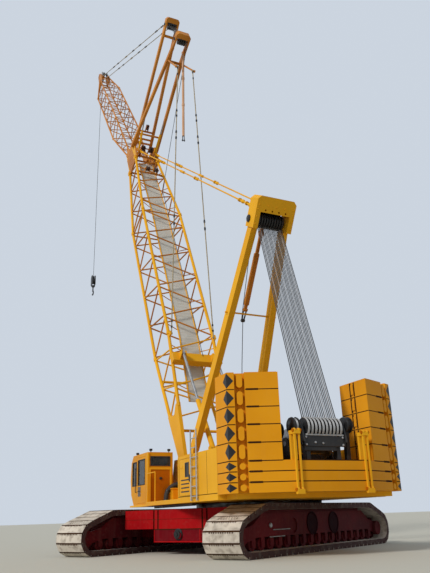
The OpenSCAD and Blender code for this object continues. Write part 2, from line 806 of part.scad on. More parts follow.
// Thicker straight ends of the chords, where two sections meet face to face
module chord_ends(y0, y1, w, d, chord) {
    for (x = [-1, 1]) for (h = [-1, 1])
        bar([x * w / 2, y0, h * d / 2], [x * w / 2, y1, h * d / 2], chord * 1.3, 24, 45);
}

// Cross frame of four tubes at a length along a lattice
module lattice_frame(y, w, d, tube) {
    for (k = [0 : 3]) {
        a = [(k == 0 || k == 3 ? -1 : 1) * w / 2, y, (k < 2 ? -1 : 1) * d / 2];
        m = (k + 1) % 4;
        b = [(m == 0 || m == 3 ? -1 : 1) * w / 2, y, (m < 2 ? -1 : 1) * d / 2];
        dir = (b - a) / norm(b - a);
        bar(a + dir * 15, b - dir * 15, tube, 8);
    }
}

module boom_foot() {
    color(YELLOW) on_boom() {
        lattice([leg_l - 150, boom_w, 2 * leg_h - chord_d, 0], [foot_l - 60, boom_w, boom_d, 0], 4, chord_d, lace_d);
        chord_ends(foot_l - 130, foot_l - rest_gap, boom_w, boom_d, chord_d);
        both() {
            // Solid leg from the foot pin up to the chords
            side_plate(boom_w / 2 - 70, 140)
                polygon([[-110, -190], [-190, -110], [-190, 110], [-110, 190], [250, 260], [leg_l, leg_h],
                    [leg_l, leg_h - 200], [leg_l - 260, 90], [leg_l - 260, -90], [leg_l, -leg_h + 200],
                    [leg_l, -leg_h], [250, -260]]);
            pin_x([(boom_w / 2 - 80 + web_x - pin_gap) / 2, 0, 0], 300, web_x - pin_gap - boom_w / 2 + 80);
            pin_x([(boom_w / 2 + web_x + web_t + 20) / 2, 0, 0], foot_pin_d, web_x + web_t + 20 - boom_w / 2);
        }
        // Cross beam that the backstops push on, and the cross tubes below it
        block([-boom_w / 2 - 60, beam_l - 200, beam_h], [boom_w / 2 + 60, beam_l + 200, beam_h + 330]);
        for (c = [[1500, 0], [beam_l, -foot_depth(beam_l)]])
            bar([-boom_w / 2, c[0], c[1]], [boom_w / 2, c[0], c[1]], 110, 16);
        // Brackets under the walkway
        for (q = [0.2, 0.8]) walk_bracket(walk_low(q), boom_w, foot_depth(walk_low(q)[0]));
        // Lugs for the strut's stays
        both() block([boom_w / 2 - 30, stay_l - 100, foot_depth(stay_l)], [boom_w / 2 + 30, stay_l + 100, stay_h + 60]);
        // Forks for the backstops' rods
        for (x = [-1, 1]) for (g = [-1, 1])
            side_plate(x * back_x + g * fork_gap - ear_t / 2, ear_t)
                polygon([[back_eye_l - 170, beam_h + 320], [back_eye_l + 170, beam_h + 320],
                    [back_eye_l + 80, back_eye_h + 90], [back_eye_l - 80, back_eye_h + 90]]);
    }
}

fork_gap = 100;
// Solid leg of the foot section: its length and its half depth at the end
leg_l = 2450;
leg_h = 560;
// Middle of the cross beam along the boom, and its underside
beam_l = 4400;
beam_h = 705;
back_eye_l = beam_l;
back_eye_h = beam_h + 530;

// Half depth of the foot section at a length along it
function foot_depth(l) = mix(leg_h - chord_d / 2, boom_d / 2, (l - leg_l + 150) / (foot_l - leg_l + 90));

walk_w = 840;
walk_h = boom_d / 2 - 290;
walk_t = 40;
rung_d = 40;
stay_l = foot_l - 200;
stay_h = boom_d / 2 + 155;

// Tube under the walkway at [along, underside], hung from chords a width apart at a height
module walk_bracket(at, width, height) {
    low = at[1] - rung_d / 2 - rest_gap;
    both() bar([width / 2, at[0], height], [walk_w / 2 + 45, at[0], low], rung_d, 8);
    bar([-walk_w / 2 - 45, at[0], low], [walk_w / 2 + 45, at[0], low], rung_d, 8);
}

module boom_lattice() {
    color(YELLOW) on_boom() {
        lattice([foot_l, boom_w, boom_d, 0], [taper_y, boom_w, boom_d, 0], 9, chord_d, lace_d);
        lattice_frame(taper_y - 60, boom_w, boom_d, 80);
        // Brackets under the walkway
        for (i = [0 : 4])
            walk_bracket([mix(foot_l + 500, taper_y - 900, i / 4), walk_h], boom_w, boom_d / 2);
    }
}

s1_l = 21200;
s1_h = 320;
s2_l = 20800;
s2_h = 670;
jib_pin_d = 120;
strut_pin_d = 100;
head_plate_t = 80;
pend_l = 19950;
pend_h = head_d / 2 + 330;
pend_pin_d = 60;

module boom_head() {
    color(YELLOW) on_boom() {
        chord_ends(taper_y + rest_gap, taper_y + 150, boom_w, boom_d, chord_d);
        lattice([taper_y + 70, boom_w, boom_d, 0], [head_y - 400, head_w + 50, head_d + 40, 0], 6, chord_d, lace_d);
        // Sockets in which the chords end
        for (x = [-1, 1]) for (h = [-1, 1])
            translate([x * (head_w / 2 + 25), head_y - 430, h * (head_d / 2 + 20)])
                cube([200, 240, 200], center = true);
        both() difference() {
            side_plate(head_w / 2 - 40, head_plate_t)
                polygon([[head_y - 500, -head_d / 2 - 60], [jib_foot_y - 250, -head_d / 2 - 60],
                    [jib_foot_y + 130, -jib_foot_d - 120], [jib_foot_y + 130, -jib_foot_d + 130],
                    [s1_l + 150, s1_h - 120], [s1_l + 150, s1_h + 140], [s2_l + 130, s2_h + 130],
                    [head_y - 500, s2_h + 130]]);
            pin_x([head_w / 2, jib_foot_y, -jib_foot_d], jib_pin_d + bore_play, 200);
            pin_x([head_w / 2, s1_l, s1_h], strut_pin_d + bore_play, 200);
        }
        for (c = [[head_y - 300, -head_d / 2], [head_y - 150, head_d / 2], [head_y + 250, 0]])
            bar([-head_w / 2, c[0], c[1]], [head_w / 2, c[0], c[1]], 110, 16);
        // Brackets under the upper walkway
        for (q = [0.15, 0.5, 0.8])
            walk_bracket(walk_top(q), mix(boom_w, head_w, q), mix(boom_d, head_d, q) / 2);
        // Ears and pins of the boom pendants
        for (x = [-1, 1]) {
            for (g = [-1, 1])
                side_plate(x * pend_x + g * ear_gap - ear_t / 2, ear_t)
                    polygon([[head_y - 320, head_d / 2 - 40], [head_y + 20, head_d / 2 - 40],
                        [pend_l + 80, pend_h + 80], [pend_l - 80, pend_h + 80]]);
            pin_x([x * pend_x, pend_l, pend_h], pend_pin_d, 2 * ear_gap + 60);
        }
    }
}

// Underside of the walkway at a share of the foot section and of the tapered section
function walk_low(q) = [mix(leg_l + 250, foot_l, q), mix(foot_depth(leg_l + 250) - 290, walk_h, q)];
function walk_top(q) = [mix(taper_y, head_y - 550, q), mix(walk_h, head_d / 2 - 260, q)];

module boom_walkway() {
    color(STEEL) on_boom() side_plate(-walk_w / 2, walk_w)
        polygon([walk_low(0), walk_low(1), walk_top(0), walk_top(1), walk_top(1) + [0, walk_t],
            walk_top(0) + [0, walk_t], walk_low(1) + [0, walk_t], walk_low(0) + [0, walk_t]]);
}

// Backstops between the upper works and the boom's cross beam

back_x = 720;
back_y = -100;
back_z = 3300;
back_eye = boom_point(back_x, back_eye_l, back_eye_h);
back_v = [0, back_eye[1] - back_y, back_eye[2] - back_z];
back_dir = back_v / norm(back_v);
// Half distance between the plates of a backstop's foot
back_gap = 125;
back_tube_l = 2300;
back_rod_l = 3300;

back_rod_d = 110;

module backstop_tubes() {
    a = [back_x, back_y, back_z];
    color(YELLOW) both() {
        difference() {
            union() {
                bar(a, a + back_dir * back_tube_l, 190, 32);
                pin_x(a, 170, 2 * back_gap - 40);
            }
            bar(a + back_dir * 250, a + back_dir * (back_tube_l + 10), back_rod_d + bore_play, 32);
        }
        pin_x(a, back_pin_d, 2 * back_gap + 40);
    }
}

module backstop_rods() {
    color(STEEL) both() {
        bar(back_eye - back_dir * back_rod_l, back_eye, back_rod_d, 32);
        pin_x(back_eye, 150, 120);
    }
}

// Jib. Its own Y runs along the jib, its own Z to its rear face

jib_foot = boom_point(0, jib_foot_y, -jib_foot_d);

module on_jib() {
    translate(jib_foot) rotate([jib_deg, 0, 0]) children();
}

function jib_point(x, l, h) =
    jib_foot + [x, l * cos(jib_deg) - h * sin(jib_deg), l * sin(jib_deg) + h * cos(jib_deg)];

jib_y0 = 500;
jib_y1 = 4900;
// How far the middle of the jib lies in front of the line from its foot to its tip
jib_set = 150;
jib_y2 = jib_l - 3800;
jib_y3 = jib_l - 1000;
jib_foot_w = jib_w - 320;
jib_foot_h = 330;
jib_tip_w = 700;
jib_tip_h = 620;
jib_lace_d = 56;

module jib_butt() {
    color(YELLOW) on_jib() {
        lattice([jib_y0, jib_foot_w, jib_foot_h, 0], [jib_y1 - 60, jib_w, jib_d, -jib_set], 5, jib_chord_d, jib_lace_d);
        translate([0, 0, -jib_set]) chord_ends(jib_y1 - 130, jib_y1 - rest_gap, jib_w, jib_d, jib_chord_d);
        both() {
            side_plate(jib_foot_w / 2 - 48, 110)
                polygon([[-130, -130], [-130, 130], [350, 260], [720, 270], [720, -270], [350, -260]]);
            pin_x([(jib_foot_w / 2 + head_w / 2 + 50) / 2, 0, 0], jib_pin_d, head_w / 2 + 50 - jib_foot_w / 2);
        }
        bar([-jib_foot_w / 2, 560, 0], [jib_foot_w / 2, 560, 0], 90, 16);
    }
}

module jib_lattice() {
    color(YELLOW) on_jib()
        lattice([jib_y1, jib_w, jib_d, -jib_set], [jib_y2, jib_w, jib_d, -jib_set], 10, jib_chord_d, jib_lace_d);
}

jp_l = jib_l - 1100;
jp_h = 430;
jp_x = 200;
jp_pin_d = 40;
jp_ear = 45;
jp_ear_t = 20;
tip_pin_d = 90;

module jib_head() {
    color(DARK_YELLOW) on_jib() {
        translate([0, 0, -jib_set]) chord_ends(jib_y2 + rest_gap, jib_y2 + 130, jib_w, jib_d, jib_chord_d);
        lattice([jib_y2 + 60, jib_w, jib_d, -jib_set], [jib_y3, jib_tip_w, jib_tip_h, 0], 4, jib_chord_d, jib_lace_d);
        both() side_plate(280, 60)
            polygon([[jib_l - 1300, -400], [jib_l - 700, -380], [jib_l + 160, -160], [jib_l + 160, 160],
                [jib_l - 500, 380], [jib_l - 1300, 380]]);
        bar([-340, jp_l, -310], [340, jp_l, -310], 90, 16);
        bar([-340, jp_l, 310], [340, jp_l, 310], 90, 16);
        pin_x([0, jib_l, 0], tip_pin_d, 640);
        // Ears and pins of the jib pendants
        for (x = [-1, 1]) {
            for (g = [-1, 1])
                side_plate(x * jp_x + g * jp_ear - jp_ear_t / 2, jp_ear_t)
                    polygon([[jp_l - 100, 300], [jp_l + 100, 300], [jp_l + 55, jp_h + 55], [jp_l - 55, jp_h + 55]]);
            pin_x([x * jp_x, jp_l, jp_h], jp_pin_d, 2 * jp_ear + 40);
        }
    }
}

module tip_sheave() {
    color(BLACK) translate(jib_point(0, jib_l, 0)) rotate([0, 90, 0]) difference() {
        cylinder(r = tip_r, h = 70, center = true, $fn = 48);
        cylinder(d = tip_pin_d + bore_play, h = 90, center = true, $fn = 32);
    }
}

rope_y = jib_point(0, jib_l, 0)[1] + tip_r + rope_d / 2 + rest_gap;
rope_top = jib_point(0, jib_l, 0)[2];

module hoist_rope() {
    color(BLACK) bar([0, rope_y, rope_top - rope_l], [0, rope_y, rope_top], rope_d, 8);
}

module hook_block() {
    color(BLACK) translate([0, rope_y, rope_top - rope_l]) {
        for (x = [-1, 1]) side_plate(x * 110 - 15, 30)
            polygon([[-230, -100], [-230, -700], [0, -860], [230, -700], [230, -100], [100, 30], [-100, 30]]);
        pin_x([0, 0, -420], 420, 150);
        pin_x([0, 0, -420], 120, 250);
        difference() {
            translate([0, 0, -820]) cylinder(d = 200, h = 120, center = true, $fn = 32);
            translate([0, 0, -880]) cylinder(d = shank_d + bore_play, h = 70, $fn = 32);
        }
        block([-40, -40, -220], [40, 40, 0]);
    }
}

shank_d = 90;

module hook() {
    color(BLACK) translate([0, rope_y, rope_top - rope_l - 900]) {
        translate([0, 0, -250]) cylinder(d = shank_d, h = 330, $fn = 32);
        translate([0, 0, -430]) rotate([0, 90, 0]) rotate([0, 0, 160])
            rotate_extrude(angle = 250, $fn = 48) translate([150, 0]) circle(d = 90, $fn = 24);
    }
}

// Jib struts

s1 = boom_point(0, s1_l, s1_h);
s2 = boom_point(0, s2_l, s2_h);
strut1_deg = 134.4;
strut2_deg = 153.4;
strut2_l = 6780;
strut2_x = 775;

function strut2_point(x, l, h) =
    s2 + [x, l * cos(strut2_deg) - h * sin(strut2_deg), l * sin(strut2_deg) + h * cos(strut2_deg)];

module strut_legs(base, head, l, rung) {
    both() hull() {
        translate([base, 0, 0]) rotate([0, 90, 0]) cylinder(d = 240, h = 130, center = true, $fn = 24);
        translate([head, l - 500, 0]) rotate([0, 90, 0]) cylinder(d = 260, h = 130, center = true, $fn = 24);
    }
    bar([-mix(base, head, rung), l * rung, 0], [mix(base, head, rung), l * rung, 0], 110, 16);
}

// Frame with a closed cap, open where the sheaves stand; reach is how far its sides come down
module strut_head(hw, l, reach) {
    translate([0, 0, -180]) linear_extrude(360) difference() {
        polygon([[-hw, l - reach], [hw, l - reach], [hw, l + 300], [hw - 110, l + 420],
            [-hw + 110, l + 420], [-hw, l + 300]]);
        translate([-hw + 90, l - reach - 1]) square([2 * hw - 180, reach + 141]);
    }
    bar([-hw + 20, l - reach + 100, 0], [hw - 20, l - reach + 100, 0], 150, 16);
    pin_x([0, l, 0], 90, 2 * hw);
    for (i = [-1.5, -0.5, 0.5, 1.5]) pin_x([i * 110, l, 0], 460, 60);
}

jp_b_l = strut_l + 100;
jp_b_h = -420;

module strut_front() {
    color(YELLOW) translate(s1) rotate([strut1_deg, 0, 0]) {
        strut_legs(480, 330, strut_l, 0.15);
        strut_head(385, strut_l, 700);
        both() pin_x([(480 + head_w / 2 + 50) / 2, 0, 0], strut_pin_d, head_w / 2 + 50 - 480);
        // Ears for the jib pendants
        for (x = [-1, 1]) for (g = [-1, 1])
            side_plate(x * jp_x + g * jp_ear - jp_ear_t / 2, jp_ear_t)
                polygon([[strut_l, -180], [strut_l + 200, -180], [jp_b_l + 50, jp_b_h - 60], [jp_b_l - 50, jp_b_h - 60]]);
    }
}

// Arm point of the rear strut, and the foot of the stays from it down to the boom
stay_x = 415;
stay_top = strut2_point(stay_x, 6200, 2150);
stay_foot = boom_point(boom_w / 2 - 60, stay_l, stay_h);
arm_x = 505;

module strut_rear() {
    color(YELLOW) translate(s2) rotate([strut2_deg, 0, 0]) {
        strut_legs(strut2_x, 350, strut2_l, 0.13);
        strut_head(400, strut2_l, 1350);
        both() pin_x([(head_w / 2 + 40 + strut2_x) / 2, 0, 0], strut_pin_d, strut2_x - head_w / 2 - 40);
    }
    // Arms that carry the stays
    color(YELLOW) both() {
        bar(strut2_point(arm_x - 120, 5600, 100), [arm_x, stay_top[1], stay_top[2]], 90, 16);
        pin_x([arm_x, stay_top[1], stay_top[2]], 130, 90);
        pin_x([(arm_x + stay_x + 30) / 2, stay_top[1], stay_top[2]], 60, arm_x - stay_x - 30);
    }
}

module strut_stays() {
    color(STEEL) both() {
        bar(stay_top, stay_foot, 50, 16);
        pin_x(stay_top, 120, 60 - 2 * rest_gap);
        pin_x(stay_foot, 110, 60 - 2 * rest_gap);
    }
}

// Boom pendants: from the boom's head to the A-frame's head

pend_a = boom_point(pend_x, pend_l, pend_h);
pend_b = a_point(pend_x, a_l, -430);

module main_pendants() {
    v = (pend_b - pend_a) / norm(pend_b - pend_a);
    color(YELLOW) both() difference() {
        union() {
            bar(pend_a + v * 50, pend_b, 60, 24);
            pin_x(pend_a, 150, 60);
            pin_x(pend_b, 150, 60);
            bar(pend_a + v * 8000, pend_a + v * 8500, 120, 24);
        }
        pin_x(pend_a, pend_pin_d + bore_play, 100);
    }
}

// Jib pendants: from the jib's head to the front strut's head

jp_a = jib_point(jp_x, jp_l, jp_h);
jp_b = s1 + [jp_x, jp_b_l * cos(strut1_deg) - jp_b_h * sin(strut1_deg),
    jp_b_l * sin(strut1_deg) + jp_b_h * cos(strut1_deg)];

module jib_pendants() {
    v = (jp_b - jp_a) / norm(jp_b - jp_a);
    color(STEEL) both() difference() {
        union() {
            bar(jp_a + v * 35, jp_b, 44, 16);
            pin_x(jp_a, 110, 50);
            pin_x(jp_b, 110, 50);
            bar(jp_a + v * 7000, jp_a + v * 7400, 90, 16);
        }
        pin_x(jp_a, jp_pin_d + bore_play, 100);
    }
}

track(-1);  // track_left
track(1);  // track_right
track_frames();
rollers();
carbody();
ballast();
slew_ring();
main_frame();
deck();
houses();
house_door(-1, house_front);  // door_left
house_door(1, right_front);  // door_right
engine();
cab_shell();
cab_glass();
cab_door();
cab_seat();
access();
tail_plates();
side_stacks();
tie_straps();
rope_block();
luff_drum();
hoist_drums();
a_frame();
a_head();
luff_ropes();
main_pendants();
boom_foot();
boom_lattice();
boom_head();
boom_walkway();
backstop_tubes();
backstop_rods();
strut_rear();
strut_stays();
jib_butt();
jib_lattice();
jib_head();
strut_front();
jib_pendants();
tip_sheave();
hoist_rope();
hook_block();
hook();
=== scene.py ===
# %% [markdown]
# # A lattice boom crawler crane
# The shapes of the crane come from its CAD frame, one object for each node. Here each of them gets the finish of the
# real machine, and the pieces that are too small for the CAD source are modelled on top: ropes, rails, lamps, bolts
# and the painted diamonds on the counterweight.

# %% Load the frame
import math
import bpy
from mathutils import Matrix, Vector


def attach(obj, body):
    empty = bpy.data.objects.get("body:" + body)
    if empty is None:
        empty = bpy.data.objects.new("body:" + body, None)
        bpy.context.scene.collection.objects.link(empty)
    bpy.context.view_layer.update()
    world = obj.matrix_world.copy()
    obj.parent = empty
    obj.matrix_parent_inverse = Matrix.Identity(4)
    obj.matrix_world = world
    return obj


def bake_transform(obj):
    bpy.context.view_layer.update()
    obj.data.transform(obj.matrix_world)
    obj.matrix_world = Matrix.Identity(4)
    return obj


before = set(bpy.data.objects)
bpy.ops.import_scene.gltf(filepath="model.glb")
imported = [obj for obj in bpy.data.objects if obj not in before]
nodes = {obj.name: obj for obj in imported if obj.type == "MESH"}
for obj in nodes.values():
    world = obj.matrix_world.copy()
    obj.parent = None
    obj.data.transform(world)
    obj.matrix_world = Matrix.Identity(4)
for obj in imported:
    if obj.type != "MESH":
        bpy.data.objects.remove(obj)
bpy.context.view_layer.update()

# %% [markdown]
# The photograph shows the crane from its left rear, with the camera about a metre above the ground and
# tilted up. A camera can be aimed with three rotation angles, but their order is hard to keep in mind.
# Here its own three directions are built from heading, tilt and a small roll, which can be read off a
# photograph one by one, and they go into the camera as the columns of a matrix.

# %% The camera
EYE = (-10.05, -20.42, 1.08)
HEADING, TILT, ROLL = math.radians(25.28), math.radians(20.38), math.radians(1.8)
SENSOR_MM, LENS_MM, FAR_CLIP = 36, 51.76, 500

ahead = Vector((math.sin(HEADING) * math.cos(TILT), math.cos(HEADING) * math.cos(TILT), math.sin(TILT)))
level = Vector((math.cos(HEADING), -math.sin(HEADING), 0))
lift = level.cross(ahead)
right = level * math.cos(ROLL) - lift * math.sin(ROLL)
up = level * math.sin(ROLL) + lift * math.cos(ROLL)

bpy.ops.object.camera_add(location=EYE)
camera = bpy.context.object
camera.name = "photo_camera"
camera.rotation_euler = Matrix((right, up, -ahead)).transposed().to_euler()
camera.data.sensor_fit = "HORIZONTAL"
camera.data.sensor_width = SENSOR_MM
camera.data.lens = LENS_MM
camera.data.clip_end = FAR_CLIP
bpy.context.scene.camera = camera
bpy.context.scene.view_settings.view_transform = "Standard"
print("camera looks along", [round(c, 3) for c in ahead])

# %% [markdown]
# The light is plain and soft: a broad sun from the left, where the photograph's sun stands, and a pale
# world that fills the shadows. A bright background could be had from a stronger world, but that would wash
# out the paint. So the world has two backgrounds, and a Light Path node shows the bright one only to the
# camera and to what glass and metal mirror.

# %% Sun and world
SUN_STRENGTH, SUN_SPREAD, SUN_COLOUR = 2.1, math.radians(12), (1.0, 0.96, 0.9)
SUN_WAY = Vector((0.90, 0.36, -0.66))
SHINE_COLOUR, SHINE_STRENGTH = (0.90, 0.95, 1.0, 1), 0.42
BACKDROP_COLOUR, BACKDROP_STRENGTH = (0.60, 0.66, 0.74, 1), 1.0


def clear_pick():
    """Deselects everything, because an operator acts on all that is selected."""
    if bpy.context.object and bpy.context.object.mode != "OBJECT":
        bpy.ops.object.mode_set(mode="OBJECT")
    bpy.ops.object.select_all(action="DESELECT")


def largest(tree, links, *values):
    """The largest of several outputs, through one Maximum node after the other."""
    top = values[0]
    for value in values[1:]:
        most = tree.new("ShaderNodeMath")
        most.operation = "MAXIMUM"
        links.new(top, most.inputs[0])
        links.new(value, most.inputs[1])
        top = most.outputs[0]
    return top


clear_pick()
bpy.ops.object.light_add(type="SUN", location=(-20, -10, 30))
sun = bpy.context.object
sun.name = "soft_sun"
sun.data.energy = SUN_STRENGTH
sun.data.angle = SUN_SPREAD
sun.data.color = SUN_COLOUR
sun.rotation_euler = SUN_WAY.to_track_quat("-Z", "Y").to_euler()

world = bpy.data.worlds.new("pale_world")
bpy.context.scene.world = world
world.use_nodes = True
world_nodes, world_links = world.node_tree.nodes, world.node_tree.links
shine = world_nodes["Background"]
backdrop = world_nodes.new("ShaderNodeBackground")
for background, colour, strength in ((shine, SHINE_COLOUR, SHINE_STRENGTH),
                                     (backdrop, BACKDROP_COLOUR, BACKDROP_STRENGTH)):
    background.inputs["Color"].default_value = colour
    background.inputs["Strength"].default_value = strength
ray = world_nodes.new("ShaderNodeLightPath")
seen = [ray.outputs[kind] for kind in ("Is Camera Ray", "Is Transmission Ray", "Is Glossy Ray")]
choice = world_nodes.new("ShaderNodeMixShader")
world_links.new(largest(world_nodes, world_links, *seen), choice.inputs[0])
world_links.new(shine.outputs[0], choice.inputs[1])
world_links.new(backdrop.outputs[0], choice.inputs[2])
world_links.new(choice.outputs[0], world_nodes["World Output"].inputs["Surface"])
print("sun of", SUN_STRENGTH, "and a world of", SHINE_STRENGTH)

# %% [markdown]
# The floor is one pale plane that reaches as far as the camera sees, since it only has to take the shadow.

# %% Floor
FLOOR_SIZE, GROUND_COLOUR, GROUND_ROUGHNESS = 600, (0.56, 0.55, 0.48, 1), 0.95


def shader_tree(name):
    """A new material, its nodes and links, and its Principled shader."""
    made = bpy.data.materials.new(name)
    made.use_nodes = True
    return made, made.node_tree.nodes, made.node_tree.links, made.node_tree.nodes["Principled BSDF"]


clear_pick()
bpy.ops.mesh.primitive_plane_add(size=FLOOR_SIZE, location=(0, 0, 0))
floor = bpy.context.object
floor.name = "pale_floor"
ground, _, _, ground_shader = shader_tree("pale_ground")
ground_shader.inputs["Base Color"].default_value = GROUND_COLOUR
ground_shader.inputs["Roughness"].default_value = GROUND_ROUGHNESS
floor.data.materials.append(ground)
print("floor", FLOOR_SIZE, "m wide")

# %% [markdown]
# A finish is a tree of nodes, and most trees need the same few blocks. Wiring them by hand each time would
# hide what differs, so each block is a function. Object coordinates are used throughout, because they are
# in metres and stay with the piece wherever it swings.

# %% Coordinates, mixes and ranges
def mapped(tree, links, scale):
    """Object coordinates, stretched by a scale for each axis."""
    where = tree.new("ShaderNodeTexCoord")
    stretch = tree.new("ShaderNodeMapping")
    stretch.inputs["Scale"].default_value = scale
    links.new(where.outputs["Object"], stretch.inputs["Vector"])
    return stretch.outputs["Vector"]


def mixed(tree, links, factor, low, high):
    """Mixes two colours or colour outputs by a factor output."""
    mix = tree.new("ShaderNodeMix")
    mix.data_type = "RGBA"
    links.new(factor, mix.inputs["Factor"])
    for socket, value in ((mix.inputs["A"], low), (mix.inputs["B"], high)):
        if hasattr(value, "is_linked"):
            links.new(value, socket)
        else:
            socket.default_value = (*value, 1)
    return mix.outputs["Result"]


def ranged(tree, links, value, low=0, high=1, to_low=0, to_high=1):
    """Carries a value from one range over to another, and stops it at both ends."""
    span = tree.new("ShaderNodeMapRange")
    numbers = {"From Min": low, "From Max": high, "To Min": to_low, "To Max": to_high}
    for name, number in numbers.items():
        span.inputs[name].default_value = number
    links.new(value, span.inputs["Value"])
    return span.outputs["Result"]


print("blocks:", [block.__name__ for block in (largest, mapped, mixed, ranged)])

# %% [markdown]
# Nothing on a machine that works outdoors is even. A cloud of noise, cut between two levels, says where a
# second tone lies, and the same kind of pattern can drive roughness or bump. Noise is chosen over a picture
# of dirt, because it has no seams and needs no unwrapping.

# %% Clouds and bumps
def cloud(tree, links, size, detail, low, high, scale=(1, 1, 1)):
    """A noise pattern, cut between two levels to 0 and 1."""
    noise = tree.new("ShaderNodeTexNoise")
    noise.inputs["Scale"].default_value = size
    noise.inputs["Detail"].default_value = detail
    links.new(mapped(tree, links, scale), noise.inputs["Vector"])
    return ranged(tree, links, noise.outputs["Fac"], low, high)


def bumped(tree, links, shader, height, depth, strength, sunk=False):
    """Lets a pattern raise the surface, or sink it."""
    bump = tree.new("ShaderNodeBump")
    bump.invert = sunk
    bump.inputs["Strength"].default_value = strength
    bump.inputs["Distance"].default_value = depth
    links.new(height, bump.inputs["Height"])
    links.new(bump.outputs["Normal"], shader.inputs["Normal"])


print("blocks:", [block.__name__ for block in (cloud, bumped)])

# %% [markdown]
# Most of the crane is one yellow gloss paint. Sun, dust and rain change it a little from place to place. A
# single colour would look like plastic, so the paint is mixed from a clean and a worn tone by a broad cloud,
# thin upright streaks and specks of dust lie on it, and a very fine bump breaks up the gloss as sprayed
# paint does on plate.

# %% The recipe of a paint
DRY_DUST = (0.46, 0.33, 0.18)
BROAD, STREAKY, SPECKLED, ORANGE_PEEL = 0.6, 1.3, 9, 45


def paint(name, clean, worn, dust=DRY_DUST, dusty=0.035, gloss=(0.3, 0.5), level=0.04):
    """Sprayed paint with a worn tone, upright dust streaks and a fine bump."""
    made, tree, links, shader = shader_tree(name)
    tone = mixed(tree, links, cloud(tree, links, BROAD, 4, 0.35, 0.65), clean, worn)
    streaks = cloud(tree, links, STREAKY, 6, 0.5, 0.8, scale=(5, 5, 0.5))
    specks = cloud(tree, links, SPECKLED, 8, 0.52, 0.75)
    dirt = largest(tree, links, streaks, specks)
    colour = mixed(tree, links, ranged(tree, links, dirt, to_high=dusty), tone, dust)
    links.new(colour, shader.inputs["Base Color"])
    links.new(ranged(tree, links, dirt, to_low=gloss[0], to_high=gloss[1]), shader.inputs["Roughness"])
    shader.inputs["Specular IOR Level"].default_value = level
    bumped(tree, links, shader, cloud(tree, links, ORANGE_PEEL, 3, 0, 1), 0.002, 0.25)
    return made


YELLOW = paint("yellow_gloss_paint", (0.86, 0.44, 0.020), (0.77, 0.37, 0.015))
print("first paint:", YELLOW.name)

# %% [markdown]
# The other painted parts are darker or redder yellows, deep reds low down on the machine, and black. The darker,
# browner yellow of the lattice is painted shade, and so is the dark gap paint. Each could be a recipe of its own, but
# paint ages alike whatever its colour, so only the two tones, the dust and the gloss change. The lower a part is, the
# more dust lies on it.

# %% The other paints
TAIL = paint("counterweight_paint", (0.78, 0.33, 0.012), (0.70, 0.28, 0.010))
CAB = paint("cab_paint", (0.74, 0.32, 0.010), (0.66, 0.27, 0.008))
# Painted shade: the lattice, struts and their fittings take a darker, browner copy of the yellow paint.
SHADED_YELLOW = paint("lattice_yellow_with_painted_shade", (0.64, 0.26, 0.040), (0.42, 0.15, 0.025))
AMBER = paint("amber_panel_paint", (0.50, 0.14, 0.003), (0.42, 0.11, 0.003))
PALE = paint("sun_bleached_bar_paint", (0.72, 0.44, 0.28), (0.60, 0.34, 0.20))
RED = paint("ballast_red_paint", (0.42, 0.006, 0.008), (0.31, 0.005, 0.008), (0.30, 0.13, 0.10), 0.10)
DEEP_RED = paint("carbody_red_paint", (0.17, 0.005, 0.010), (0.10, 0.004, 0.008), (0.25, 0.10, 0.09), 0.12)
MAROON = paint("track_frame_paint", (0.15, 0.012, 0.016), (0.07, 0.008, 0.012), (0.24, 0.14, 0.12), 0.22,
               gloss=(0.5, 0.85))
SHADE = paint("shaded_maroon_paint", (0.030, 0.004, 0.008), (0.018, 0.003, 0.005), (0.10, 0.05, 0.05), 0.1,
              gloss=(0.6, 0.9))
# Painted shade: a dark brown that stands in for the shade in seams, grooves, pockets and the gaps between parts.
GAP_SHADE = paint("painted_gap_shade", (0.050, 0.018, 0.006), (0.028, 0.012, 0.005), dusty=0.03, gloss=(0.7, 0.9),
            level=0.05)
BLACK = paint("black_satin_paint", (0.014, 0.014, 0.016), (0.026, 0.026, 0.027), (0.12, 0.11, 0.10), 0.2,
              gloss=(0.35, 0.65), level=0.3)
print("paints", [m.name for m in (TAIL, CAB, SHADED_YELLOW, AMBER, PALE, RED, DEEP_RED, MAROON, SHADE, GAP_SHADE, BLACK)])

# %% [markdown]
# Track shoes are bare cast steel, caked with pale dry mud. The mud lies in lumps, so a coarse cloud
# pattern chooses between it and the grey steel, and the same pattern raises the mud by a deeper bump.
# Wire rope, worn bright steel and galvanised steel have no crust: a mottled tone that also changes their
# roughness is what the eye takes for bare metal.

# %% Steel, caked and bare
MUD_ROUGHNESS, WET_MUD = 0.92, 0.72


def caked(name, mud, bare, low, high):
    """Cast steel under a crust of dry mud, which is darker where it is still damp."""
    made, tree, links, shader = shader_tree(name)
    crust = cloud(tree, links, 5.5, 9, low, high)
    damp = cloud(tree, links, 1.1, 4, 0.3, 0.7)
    mud_tone = mixed(tree, links, damp, mud, tuple(c * WET_MUD for c in mud))
    links.new(mixed(tree, links, crust, bare, mud_tone), shader.inputs["Base Color"])
    shader.inputs["Roughness"].default_value = MUD_ROUGHNESS
    bumped(tree, links, shader, crust, 0.012, 0.6)
    return made


def steel(name, bright, dark, metal, gloss, size):
    """Bare or galvanised steel with a mottled tone."""
    made, tree, links, shader = shader_tree(name)
    mottle = cloud(tree, links, size, 6, 0.35, 0.65)
    links.new(mixed(tree, links, mottle, bright, dark), shader.inputs["Base Color"])
    links.new(ranged(tree, links, mottle, to_low=gloss[0], to_high=gloss[1]), shader.inputs["Roughness"])
    shader.inputs["Metallic"].default_value = metal
    bumped(tree, links, shader, cloud(tree, links, 60, 3, 0, 1), 0.001, 0.3)
    return made


